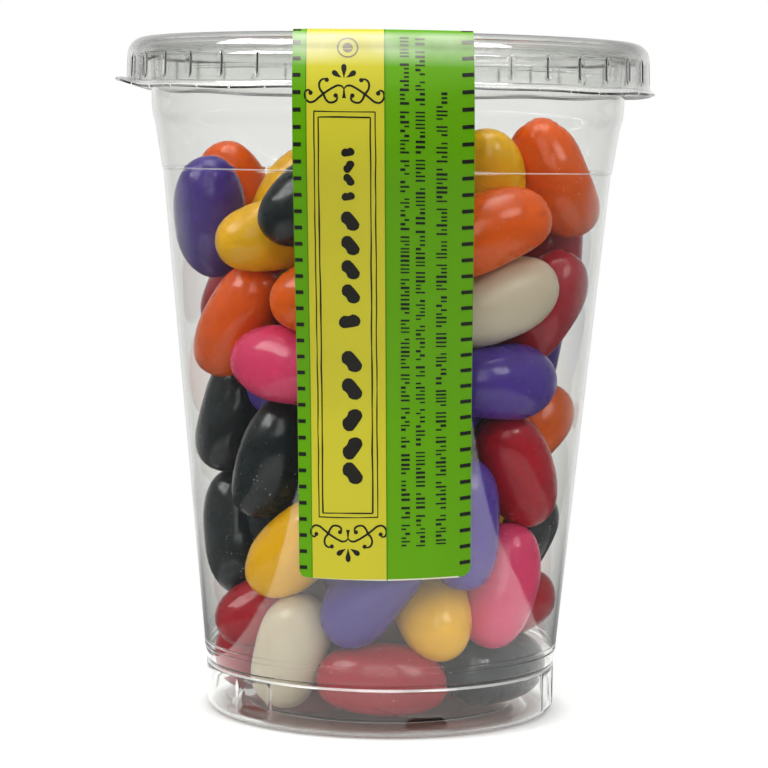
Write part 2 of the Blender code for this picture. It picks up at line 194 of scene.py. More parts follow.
def face_out(obj: bpy.types.Object) -> None:
    """Turns a skin's faces outwards, where most of it faces inwards.

    Args:
        obj: the skin, its faces already agreeing with each other.
    """
    faces = obj.data.polygons
    if sum(face.center.dot(face.normal) * face.area for face in faces) < 0.0:
        take(obj)
        bpy.ops.object.mode_set(mode="EDIT")
        bpy.ops.mesh.select_all(action="SELECT")
        bpy.ops.mesh.flip_normals()
        bpy.ops.object.mode_set(mode="OBJECT")


def arc(centre: Point, radius: float, start: float, end: float, count: int) -> list[Point]:
    """Points on an arc in the turning plane.

    Args:
        centre: radius and height of the arc's centre.
        radius: the arc's own radius.
        start: first angle in degrees, from outwards towards up.
        end: last angle in degrees.
        count: how many points.

    Returns:
        The points from start to end.
    """
    angles = [math.radians(start + (end - start) * i / (count - 1)) for i in range(count)]
    return [(centre[0] + radius * math.cos(a), centre[1] + radius * math.sin(a)) for a in angles]


def wall(obj: bpy.types.Object, thickness: float, outwards: bool = False) -> None:
    """Gives a skin its thickness with an applied Solidify.

    Args:
        obj: the skin.
        thickness: the wall.
        outwards: whether the wall grows outwards from the skin.
    """
    solid = obj.modifiers.new("wall", "SOLIDIFY")
    solid.thickness = thickness
    solid.offset = 1.0 if outwards else -1.0
    solid.use_even_offset = True
    apply_modifiers(obj)


def from_front(places: np.ndarray) -> np.ndarray:
    """Angle of each place about the cup, from the front and positive to the right."""
    return np.arctan2(places[:, 0], -places[:, 1])


def angle_apart(angles: np.ndarray, other: float) -> np.ndarray:
    """Smallest angle from each angle to another."""
    return np.abs((angles - other + math.pi) % math.tau - math.pi)


def ease(value: np.ndarray, low: float, high: float) -> np.ndarray:
    """Smooth rise from 0 at low to 1 at high."""
    part = np.clip((value - low) / (high - low), 0.0, 1.0)
    return part * part * (3.0 - 2.0 * part)


# The cup's straight taper: outer radius at a height, and how much it widens to a metre
TAPER_RADIUS = 0.0348
TAPER_Z = 0.012
TAPER = 0.0967


def taper_radius(z: float | np.ndarray) -> float | np.ndarray:
    """Outer radius of the cup's straight taper at height z."""
    return TAPER_RADIUS + (z - TAPER_Z) * TAPER


def deliver(obj: bpy.types.Object, finish: bpy.types.Material,
            nodes: Sequence[str] = ()) -> bpy.types.Object:
    """Dresses a finished piece and hands it to the frame.

    Args:
        obj: the piece.
        finish: its material.
        nodes: the CAD nodes that it stands for.

    Returns:
        The piece.
    """
    obj.data.materials.clear()
    obj.data.materials.append(finish)
    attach(obj, "root")
    if nodes:
        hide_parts(*nodes)
    log.info("%s: %d faces", obj.name, len(obj.data.polygons))
    return obj


# Finishes


class Nodes:
    """A material's node tree with short ways to add to it."""

    def __init__(self, name: str) -> None:
        """Starts a material with its Principled shader.

        Args:
            name: the material's name.
        """
        self.material = bpy.data.materials.new(name)
        self.material.use_nodes = True
        self.tree = self.material.node_tree
        self.shader = self.tree.nodes["Principled BSDF"]
        self.places = self.add("ShaderNodeTexCoord").outputs["Object"]

    def add(self, kind: str, **settings: object) -> bpy.types.Node:
        """Adds a node.

        Args:
            kind: the node's type.
            settings: its properties.

        Returns:
            The node.
        """
        node = self.tree.nodes.new(kind)
        for key, value in settings.items():
            setattr(node, key, value)
        return node

    def link(self, source: bpy.types.NodeSocket, target: bpy.types.NodeSocket) -> None:
        """Links two sockets."""
        self.tree.links.new(source, target)

    def set(self, **values: float | Colour) -> None:
        """Sets some of the shader's sockets.

        Args:
            values: their values, each named as its socket with underscores for spaces.
        """
        for key, value in values.items():
            socket = self.shader.inputs[key.replace("_", " ")]
            socket.default_value = (*value, 1.0) if isinstance(value, tuple) else value

    def noise(self, scale: float, detail: float = 3.0, stretch: Colour = (1.0, 1.0, 1.0),
              roughness: float = 0.5) -> bpy.types.NodeSocket:
        """Adds a noise on the object's own coordinates.

        Args:
            scale: how many waves to a metre.
            detail: octaves of finer noise.
            stretch: scale along each axis.
            roughness: weight of the finer octaves.

        Returns:
            The noise's value socket.
        """
        mapping = self.add("ShaderNodeMapping")
        mapping.inputs["Scale"].default_value = stretch
        self.link(self.places, mapping.inputs["Vector"])
        node = self.add("ShaderNodeTexNoise")
        node.inputs["Scale"].default_value = scale
        node.inputs["Detail"].default_value = detail
        node.inputs["Roughness"].default_value = roughness
        self.link(mapping.outputs["Vector"], node.inputs["Vector"])
        return node.outputs["Fac"]

    def part(self, kind: str) -> bpy.types.NodeSocket:
        """Adds one of the object's own coordinates.

        Args:
            kind: X, Y or Z.

        Returns:
            Its socket.
        """
        split = self.add("ShaderNodeSeparateXYZ")
        self.link(self.places, split.inputs[0])
        return split.outputs[kind]

    def between(self, value: bpy.types.NodeSocket, low: float, high: float,
                out_low: float, out_high: float) -> bpy.types.NodeSocket:
        """Maps a value's range onto another, held at its ends.

        Args:
            value: the socket to map.
            low: the value that gives out_low.
            high: the value that gives out_high.
            out_low: the result at low.
            out_high: the result at high.

        Returns:
            The mapped value's socket.
        """
        node = self.add("ShaderNodeMapRange")
        node.inputs["From Min"].default_value = low
        node.inputs["From Max"].default_value = high
        node.inputs["To Min"].default_value = out_low
        node.inputs["To Max"].default_value = out_high
        self.link(value, node.inputs["Value"])
        return node.outputs["Result"]

    def mix(self, factor: bpy.types.NodeSocket, first: Colour | bpy.types.NodeSocket,
            second: Colour | bpy.types.NodeSocket) -> bpy.types.NodeSocket:
        """Mixes two colours.

        Args:
            factor: the share of the second.
            first: a colour or a socket.
            second: a colour or a socket.

        Returns:
            The mixed colour's socket.
        """
        node = self.add("ShaderNodeMix", data_type="RGBA")
        self.link(factor, node.inputs["Factor"])
        for key, colour in (("A", first), ("B", second)):
            socket = next(s for s in node.inputs if s.name == key and s.type == "RGBA")
            if isinstance(colour, tuple):
                socket.default_value = (*colour, 1.0)
            else:
                self.link(colour, socket)
        return next(s for s in node.outputs if s.type == "RGBA")

    def times(self, first: bpy.types.NodeSocket,
              second: bpy.types.NodeSocket) -> bpy.types.NodeSocket:
        """Multiplies two values.

        Args:
            first: one value's socket.
            second: the other value's socket.

        Returns:
            The product's socket.
        """
        node = self.add("ShaderNodeMath", operation="MULTIPLY")
        self.link(first, node.inputs[0])
        self.link(second, node.inputs[1])
        return node.outputs[0]

    def bump(self, height: bpy.types.NodeSocket, distance: float, strength: float = 1.0) -> None:
        """Bumps the surface by a height.

        Args:
            height: the socket that gives it.
            distance: how deep a full step is.
            strength: the bump's share.
        """
        node = self.add("ShaderNodeBump")
        node.inputs["Distance"].default_value = distance
        node.inputs["Strength"].default_value = strength
        self.link(height, node.inputs["Height"])
        self.link(node.outputs["Normal"], self.shader.inputs["Normal"])

    def feed(self, socket: str, value: bpy.types.NodeSocket) -> None:
        """Feeds one of the shader's sockets."""
        self.link(value, self.shader.inputs[socket])


@dataclass(frozen=True)
class ClearPlastic:
    """Clear moulded plastic with faint smears, draw marks and painted highlights on some moulded
    edges.
    """

    name: str
    tint: Colour = (0.965, 0.970, 0.958)
    index: float = 1.48
    clean: float = 0.015
    smeared: float = 0.09
    smear_scale: float = 60.0
    smear_span: Point = (0.55, 0.75)
    draw_scale: float = 160.0
    draw_stretch: Colour = (1.0, 1.0, 0.12)
    draw_depth: float = 0.0000015
    # Height and half width of each moulded edge with a painted highlight, made pale and less clear
    painted_light_bands: tuple[Point, ...] = ()
    # Share of the clearness taken away in each painted highlight
    painted_light_share: float = 0.34

    def make(self) -> bpy.types.Material:
        """Makes the material, with painted highlights on its moulded edges where it has such.

        Returns:
            The material.
        """
        nodes = Nodes(self.name)
        nodes.set(Base_Color=self.tint, Transmission_Weight=1.0, IOR=self.index)
        clear = None
        # Each band is less clear and shows the pale tint: a painted highlight
        for height, half in self.painted_light_bands:
            edge = nodes.add("ShaderNodeMath", operation="COMPARE")
            nodes.link(nodes.part("Z"), edge.inputs[0])
            edge.inputs[1].default_value = height
            edge.inputs[2].default_value = half
            kept = nodes.between(edge.outputs[0], 0.0, 1.0, 1.0, 1.0 - self.painted_light_share)
            clear = nodes.times(clear, kept) if clear else kept
        if clear:
            nodes.feed("Transmission Weight", clear)
        smear = nodes.noise(self.smear_scale, detail=4.0)
        nodes.feed("Roughness", nodes.between(smear, *self.smear_span, self.clean, self.smeared))
        drawn = nodes.noise(self.draw_scale, detail=1.0, stretch=self.draw_stretch)
        nodes.bump(drawn, self.draw_depth)
        return nodes.material


@dataclass(frozen=True)
class SugarShell:
    """Polished sugar shell of one colour of jelly bean."""

    name: str
    colour: Colour
    shade: Colour
    roughness: float = 0.26
    wear: float = 0.16
    coat: float = 0.36
    coat_roughness: float = 0.10
    gloss: float = 0.10
    mottle: float = 0.30
    speck: Colour = (0.80, 0.76, 0.70)
    speck_share: float = 0.75
    # Waves to a metre of the mottling, the specks, the dusty places, the wear and the dents
    mottle_scale: float = 95.0
    speck_scale: float = 2600.0
    dust_scale: float = 75.0
    wear_scale: float = 420.0
    dent_scale: float = 240.0
    dent_depth: float = 0.00004

    def make(self) -> bpy.types.Material:
        """Makes the material, softly mottled, with a tone for each bean and some sugar specks.

        Returns:
            The material.
        """
        nodes = Nodes("bean_" + self.name)
        nodes.set(Coat_Weight=self.coat, Coat_Roughness=self.coat_roughness,
                  Specular_IOR_Level=self.gloss)
        tone = nodes.add("ShaderNodeAttribute", attribute_name="bean_tone").outputs["Fac"]
        bean = nodes.mix(tone, self.colour, self.shade)
        patches = nodes.noise(self.mottle_scale, detail=2.0)
        bean = nodes.mix(nodes.between(patches, 0.42, 0.66, 0.0, self.mottle), bean, self.shade)
        grain = nodes.noise(self.speck_scale, detail=1.0)
        dusty = nodes.noise(self.dust_scale, detail=2.0)
        specks = nodes.times(nodes.between(grain, 0.735, 0.765, 0.0, 1.0),
                             nodes.between(dusty, 0.50, 0.60, 0.0, self.speck_share))
        nodes.feed("Base Color", nodes.mix(specks, bean, self.speck))
        worn = nodes.noise(self.wear_scale, detail=5.0, roughness=0.65)
        nodes.feed("Roughness", nodes.between(worn, 0.4, 0.75, self.roughness,
                                              self.roughness + self.wear))
        nodes.bump(nodes.noise(self.dent_scale, detail=2.0), self.dent_depth)
        return nodes.material


@dataclass(frozen=True)
class CoatedPaper:
    """Coated label paper in one printed colour."""

    name: str
    colour: Colour
    worn: Colour
    roughness: float = 0.40
    # Heights between which a painted sheen lies on the bend over the lid's edge
    sheen_heights: tuple[float, float, float, float] = (0.1252, 0.1284, 0.1306, 0.1316)
    # Share of the painted sheen, and the pale colour that it mixes into the ink
    sheen_share: float = 0.42
    sheen_colour: Colour = (0.74, 0.74, 0.66)
    gloss: float = 0.12
    # Waves to a metre of the ink's blotches, the patches of the painted sheen and the fibres
    blotch_scale: float = 90.0
    sheen_patch_scale: float = 120.0
    fibre_scale: float = 2200.0
    fibre_depth: float = 0.00001
    fibre_wear: float = 0.12

    def make(self) -> bpy.types.Material:
        """Makes the material with its fibres, faint unevenness of the ink and a painted sheen on
        the bend.

        Returns:
            The material.
        """
        nodes = Nodes("print_" + self.name)
        nodes.set(Specular_IOR_Level=self.gloss)
        blotch = nodes.noise(self.blotch_scale, detail=5.0, roughness=0.6)
        printed = nodes.mix(nodes.between(blotch, 0.4, 0.75, 0.0, 0.6), self.colour, self.worn)
        height = nodes.part("Z")
        # Painted sheen: on the bend the ink turns, in patches, towards a pale colour
        low, full, still, high = self.sheen_heights
        bend = nodes.times(nodes.between(height, low, full, 0.0, self.sheen_share),
                           nodes.between(height, still, high, 1.0, 0.0))
        sheen_patches = nodes.noise(self.sheen_patch_scale, detail=3.0)
        bend = nodes.times(bend, nodes.between(sheen_patches, 0.35, 0.65, 0.55, 1.0))
        nodes.feed("Base Color", nodes.mix(bend, printed, self.sheen_colour))
        fibre = nodes.noise(self.fibre_scale, detail=3.0, stretch=(1.0, 1.0, 0.5))
        nodes.feed("Roughness", nodes.between(fibre, 0.3, 0.7, self.roughness,
                                              self.roughness + self.fibre_wear))
        nodes.bump(fibre, self.fibre_depth)
        return nodes.material


@dataclass(frozen=True)
class HeapCore:
    """A dark core seen between the beans: painted shade standing for the beans further in."""

    # Both colours are painted shade, mixed at random by a noise
    deep: Colour = (0.05, 0.02, 0.015)
    near: Colour = (0.16, 0.05, 0.02)
    scale: float = 70.0
    roughness: float = 0.6

    def make(self) -> bpy.types.Material:
        """Makes the material.

        Returns:
            The material.
        """
        nodes = Nodes("heap_core")
        nodes.set(Roughness=self.roughness)
        share = nodes.between(nodes.noise(self.scale, detail=1.0), 0.4, 0.6, 0.0, 1.0)
        nodes.feed("Base Color", nodes.mix(share, self.deep, self.near))
        return nodes.material


class Flavour(Enum):
    """The colours of bean, with the shell's colour and its darker or paler shade."""

    PURPLE = ("purple", (0.085, 0.040, 0.330), (0.060, 0.030, 0.230))
    ORANGE = ("orange", (0.870, 0.132, 0.001), (0.730, 0.082, 0.001))
    YELLOW = ("yellow", (0.930, 0.520, 0.001), (0.820, 0.420, 0.001))
    BLACK = ("black", (0.006, 0.012, 0.013), (0.014, 0.022, 0.024))
    RED = ("red", (0.470, 0.004, 0.018), (0.300, 0.004, 0.014))
    PINK = ("pink", (0.820, 0.060, 0.180), (0.720, 0.045, 0.140))
    WHITE = ("white", (0.680, 0.620, 0.480), (0.610, 0.530, 0.380))

    @property
    def shell(self) -> SugarShell:
        """The finish of this colour."""
        return SugarShell(*self.value)


# Sub-assemblies


@dataclass
class BeanPacking:
    """Places of the beans: each a row of balls, settled inside the cup."""

    count: int = 90
    length: float = 0.0244
    width: float = 0.0142
    end: float = 0.93
    gap: float = 0.0008
    cup_wall: float = 0.0007
    floor_z: float = 0.0027
    lug_depth: float = 0.0006
    heel_top_z: float = 0.0096
    balls: tuple[float, ...] = (0.0, 1.0 / 3.0, 2.0 / 3.0, 1.0)
    rounds: int = 1100
    drop: float = 0.0002
    stiffness: float = 1.5
    reach: float = 0.021
    refresh: int = 8
    front_weight: float = 0.3
    hold: float = 0.3
    hold_late: float = 0.06
    hold_depth: float = 0.3
    # Share of the rounds after which nothing sinks any more, and after which the hold is late
    sink_until: float = 0.6
    hold_until: float = 0.7
    # Heights and inset of the beans that aren't listed one by one, and where none of them starts
    loose_z: Point = (0.010, 0.104)
    loose_inset: float = 0.009
    kept_clear: Point = (0.006, 0.010)
    seed: int = 7
    # Colour, millimetres to the right of the axis, height, degrees of lean to the right,
    # and depth behind the front wall
    front: tuple[tuple[str, float, float, float, float], ...] = (
        ("purple", -36.0, 97.0, -5, 0), ("orange", -30.5, 99.5, -15, 24),
        ("yellow", -19.0, 99.0, 30, 24), ("black", -14.5, 102.0, 50, 2),
        ("yellow", -20.0, 93.5, 68, 0), ("orange", -28.5, 77.5, 40, 0),
        ("orange", -9.0, 83.5, 80, 0), ("red", -23.0, 78.0, 60, 18),
        ("red", -34.0, 82.0, 10, 20), ("pink", -18.5, 69.5, -75, 0),
        ("orange", -33.0, 66.0, 10, 24), ("black", -31.0, 58.0, 25, 0),
        ("black", -21.5, 51.0, 30, 0), ("black", -30.0, 34.0, -8, 0),
        ("yellow", -17.2, 35.0, 40, 1), ("red", -28.5, 14.5, 62, 1),
        ("white", -16.5, 15.0, 18, 0), ("purple", -0.5, 25.5, 50, 1),
        ("yellow", 11.5, 23.5, 10, 1), ("red", 1.5, 10.0, 90, 0),
        ("black", 25.0, 9.4, 86, 0), ("red", 24.5, 20.0, 75, 9),
        ("pink", 22.5, 27.5, 22, 0), ("purple", 15.0, 38.0, 0, 0),
        ("red", 25.5, 49.5, -20, 0), ("purple", 24.0, 66.0, 100, 0),
        ("orange", 32.0, 55.0, 55, 8), ("white", 31.0, 44.0, 0, 24),
        ("red", 31.0, 79.5, 42, 0), ("white", 21.0, 83.0, 62, 0),
        ("orange", 20.5, 94.5, 66, 1), ("red", 32.0, 92.0, 0, 24),
        ("orange", 33.5, 105.0, -52, 0), ("yellow", 20.5, 102.5, 0, 12),
        ("purple", 34.0, 86.0, 40, 26), ("purple", 34.0, 73.0, 10, 15),
        ("black", 26.5, 33.0, 30, 16), ("black", -7.0, 15.0, 70, 24),
        ("black", 14.0, 12.0, 80, 18), ("black", -22.0, 41.0, -10, 11),
        ("red", -22.0, 22.0, 70, 13),
    )
    ends: np.ndarray = field(init=False)
    widths: np.ndarray = field(init=False)
    colours: list[str] = field(init=False)
    rolls: list[float] = field(init=False)

    def __post_init__(self) -> None:
        """Draws the beans and lets them settle."""
        self.draw()
        self.settle()

    def free_reach(self, z: np.ndarray) -> np.ndarray:
        """Radius that a bean may reach inside the cup at height z."""
        free = taper_radius(z) - self.cup_wall - self.gap
        return free - np.where(z < self.heel_top_z + self.lug_depth, self.lug_depth, 0.0)

    def draw(self) -> None:
        """Draws every bean's spine, width, colour and roll before settling."""
        draw = random.Random(self.seed)
        ends: list[list[list[float]]] = []
        widths: list[float] = []
        self.colours = []

        def add(centre: Iterable[float], axis: Iterable[float], width: float, length: float,
                colour: str) -> None:
            """Notes one bean.

            Args:
                centre: its middle.
                axis: the way that it lies, one unit long.
                width: its width.
                length: its length.
                colour: the name of its colour.
            """
            half = (length - self.end * width) / 2
            ends.append([[c - half * a for c, a in zip(centre, axis)],
                         [c + half * a for c, a in zip(centre, axis)]])
            widths.append(width)
            self.colours.append(colour)

        names = [flavour.value[0] for flavour in Flavour]
        for colour, x, z, lean, depth in self.front:
            x, z, depth = x * MM, z * MM, depth * MM
            width = self.width * draw.uniform(0.97, 1.03)
            length = self.length * draw.uniform(0.97, 1.05)
            reach = taper_radius(z) - self.cup_wall - self.gap - width / 2
            x = max(-reach, min(reach, x))
            turn = math.radians(lean)
            centre = (x, depth - math.sqrt(reach * reach - x * x), z)
            add(centre, (math.sin(turn), 0.0, math.cos(turn)), width, length, colour)
        while len(ends) < self.count:
            z = draw.uniform(*self.loose_z)
            reach = (taper_radius(z) - self.loose_inset) * math.sqrt(draw.random())
            turn = draw.uniform(-math.pi / 2, 1.5 * math.pi)
            axis = [draw.gauss(0, 1), draw.gauss(0, 1), 0.8 * draw.gauss(0, 1)]
            size = math.sqrt(sum(part * part for part in axis))
            width = self.width * draw.uniform(0.95, 1.05)
            length = self.length * draw.uniform(0.94, 1.06)
            x, y = reach * math.sin(turn), -reach * math.cos(turn)
            if y < self.kept_clear[0] and abs(x) > self.kept_clear[1]:
                continue
            colour = names[draw.randrange(len(names))]
            add((x, y, z), [part / size for part in axis], width, length, colour)
        self.rolls = [draw.uniform(0.0, math.tau) for _ in ends]
        self.ends, self.widths = np.array(ends), np.array(widths)

    def settle(self) -> None:
        """Lets the beans sink and push each other apart inside the cup.

        Beans that show at the front are held by what can be seen of them. The places
        are rounded in each round, so that every run agrees.
        """
        ends = self.ends
        held = np.arange(len(ends)) < len(self.front)
        share = np.array(self.balls)
        low, high = 1.0 - share, share
        norm = low ** 2 + high ** 2
        swell = [self.end if s in (0.0, 1.0) else 1.0 for s in self.balls]
        radius = (np.outer(self.widths, swell) / 2).ravel()
        owner = np.repeat(np.arange(len(ends)), len(share))
        weight = np.where(held, self.front_weight, 1.0)[owner]
        span = np.sqrt(((ends[:, 1] - ends[:, 0]) ** 2).sum(1))[:, None]
        goal = ends.copy()
        for turn in range(self.rounds):
            sink = max(0.0, 1.0 - turn / (self.rounds * self.sink_until))
            ends[~held, :, 2] -= self.drop * sink
            balls = (ends[:, 0][:, None] * low[None, :, None]
                     + ends[:, 1][:, None] * high[None, :, None]).reshape(-1, 3)
            if turn % self.refresh == 0:
                near = ((balls[:, None] - balls[None]) ** 2).sum(2) < self.reach ** 2
                first, second = np.nonzero(near & (owner[:, None] < owner[None, :]))
            gap = balls[first] - balls[second]
            distance = np.sqrt(gap[:, 0] ** 2 + gap[:, 1] ** 2 + gap[:, 2] ** 2) + 1e-9
            overlap = np.maximum(radius[first] + radius[second] - distance, 0.0)
            push = gap / distance[:, None] * overlap[:, None]
            part = weight[first] / (weight[first] + weight[second])
            count = len(balls)
            touching = (np.bincount(first, overlap > 0, count)
                        + np.bincount(second, overlap > 0, count))
            move = np.stack([np.bincount(first, push[:, k] * part, count)
                             - np.bincount(second, push[:, k] * (1.0 - part), count)
                             for k in range(3)], 1)
            moved = balls + move / np.maximum(touching, 1)[:, None] * self.stiffness
            out = np.sqrt(moved[:, 0] ** 2 + moved[:, 1] ** 2)
            limit = self.free_reach(moved[:, 2]) - radius
            moved[:, :2] *= np.where(out > limit, limit / np.maximum(out, 1e-9), 1.0)[:, None]
            moved[:, 2] = np.maximum(moved[:, 2], self.floor_z + radius)
            shift = (moved - balls).reshape(len(ends), len(share), 3)
            ends[:, 0] += (shift * (low / norm)[None, :, None]).sum(1) / 2
            ends[:, 1] += (shift * (high / norm)[None, :, None]).sum(1) / 2
            middle = ends.mean(1)
            axis = ends[:, 1] - ends[:, 0]
            axis = axis / np.sqrt((axis ** 2).sum(1))[:, None] * span / 2
            ends = np.stack([middle - axis, middle + axis], 1)
            hold = self.hold if turn < self.rounds * self.hold_until else self.hold_late
            pull = np.array([hold, hold * self.hold_depth, hold])
            ends[held] += pull * (goal[held] - ends[held])
            ends = np.round(ends, 7)
        self.ends = ends


@dataclass
class BeanHeap:
    """The jelly beans in their cup, one mesh for each colour, and the core behind them."""

    segments: int = 32
    rings: int = 20
    fullness: float = 2.35
    bend: float = 0.0007
    lump: float = 0.00022
    core_inset: float = 0.0150
    core_bottom_z: float = 0.012
    core_top_z: float = 0.086
    core_steps: int = 48
    tone_seed: int = 11
    packing: BeanPacking = field(default_factory=BeanPacking)

    def blank(self) -> bpy.types.Object:
        """Models the bean that the others are copied from.

        Returns:
            A bean two units long along Z and two units across.
        """
        deselect()
        bpy.ops.mesh.primitive_uv_sphere_add(segments=self.segments, ring_count=self.rings,
                                             radius=1.0)
        bean = newest("bean_blank")

        def fill(places: np.ndarray) -> np.ndarray:
            """Fills a ball out to a bean's fuller ends.

            Args:
                places: the ball's points.

            Returns:
                The bean's points.
            """
            thin = np.hypot(places[:, 0], places[:, 1])
            full = np.maximum(0.0, 1.0 - np.abs(places[:, 2]) ** self.fullness)
            grow = full ** (1.0 / self.fullness) / np.maximum(thin, 1e-6)
            grow = np.where(thin > 1e-5, grow, 0.0)
            return places * np.stack([grow, grow, np.ones(len(grow))], 1)

        reshape(bean, fill)
        return bean

    def place(self, bean: bpy.types.Object, which: int, tone: float) -> None:
        """Shapes a copied bean and lays it where the packing has it.

        Args:
            bean: the copy.
            which: its number in the packing.
            tone: its share of the colour's other shade.
        """
        ends, width = self.packing.ends[which], self.packing.widths[which]
        roll = self.packing.rolls[which]
        centre = ends.mean(0)
        axis = ends[1] - ends[0]
        size = math.sqrt((axis ** 2).sum())
        half = size / 2 + self.packing.end * width / 2
        axis = axis / size
        helper = np.array([1.0, 0.0, 0.0]) if abs(axis[0]) < 0.7 else np.array([0.0, 1.0, 0.0])
        side = np.cross(axis, helper)
        side /= math.sqrt((side ** 2).sum())
        other = np.cross(axis, side)
        bend = math.cos(roll) * side + math.sin(roll) * other

        def lay(places: np.ndarray) -> np.ndarray:
            """Gives the blank its size, slow lumps and bend, and lays it in its place.

            Args:
                places: the blank's points.

            Returns:
                The bean's points.
            """
            x, y, along = places.T
            waves = (np.sin(3.1 * along + roll * 5.0) * np.cos(2.3 * x - roll * 3.0)
                     + 0.7 * np.sin(2.7 * y + 4.1 * along + roll * 9.0))
            thick = width / 2 + self.lump * waves
            spot = centre + (along * half)[:, None] * axis
            spot = spot + (x * thick)[:, None] * side + (y * thick)[:, None] * other
            return spot + (self.bend * (0.5 - along * along))[:, None] * bend

        reshape(bean, lay)
        tones = bean.data.attributes.new("bean_tone", "FLOAT", "POINT")
        tones.data.foreach_set("value", [tone] * len(bean.data.vertices))

    def build(self) -> None:
        """Builds the core and the beans of each colour."""
        packing = self.packing
        blank = self.blank()
        shades = random.Random(self.tone_seed)
        piles: dict[str, list[bpy.types.Object]] = {}
        for which, colour in enumerate(packing.colours):
            bean = blank.copy()
            bean.data = blank.data.copy()
            bpy.context.collection.objects.link(bean)
            self.place(bean, which, shades.random())
            piles.setdefault(colour, []).append(bean)
        bpy.data.objects.remove(blank)
        for flavour in Flavour:
            colour = flavour.value[0]
            pile = join(piles[colour], "beans_" + colour)
            smooth(pile, SMOOTH_ALL)
            deliver(pile, flavour.shell.make(), ["jelly_beans"])
        self.build_core()

    def build_core(self) -> None:
        """Turns the core that closes the view through the middle of the heap."""
        low = taper_radius(self.core_bottom_z) - self.core_inset
        high = taper_radius(self.core_top_z) - self.core_inset
        profile = [(0.0, self.core_top_z + 0.004), (high * 0.6, self.core_top_z + 0.003),
                   (high, self.core_top_z - 0.002)]
        profile += [(low + (high - low) * part, self.core_bottom_z
                     + (self.core_top_z - self.core_bottom_z) * part) for part in (0.66, 0.33)]
        profile += [(low, self.core_bottom_z + 0.002), (low * 0.9, self.core_bottom_z),
                    (0.0, self.core_bottom_z)]
        core = turn_profile("heap_core", profile, self.core_steps)
        smooth(core)
        deliver(core, HeapCore().make(), ["jelly_beans"])


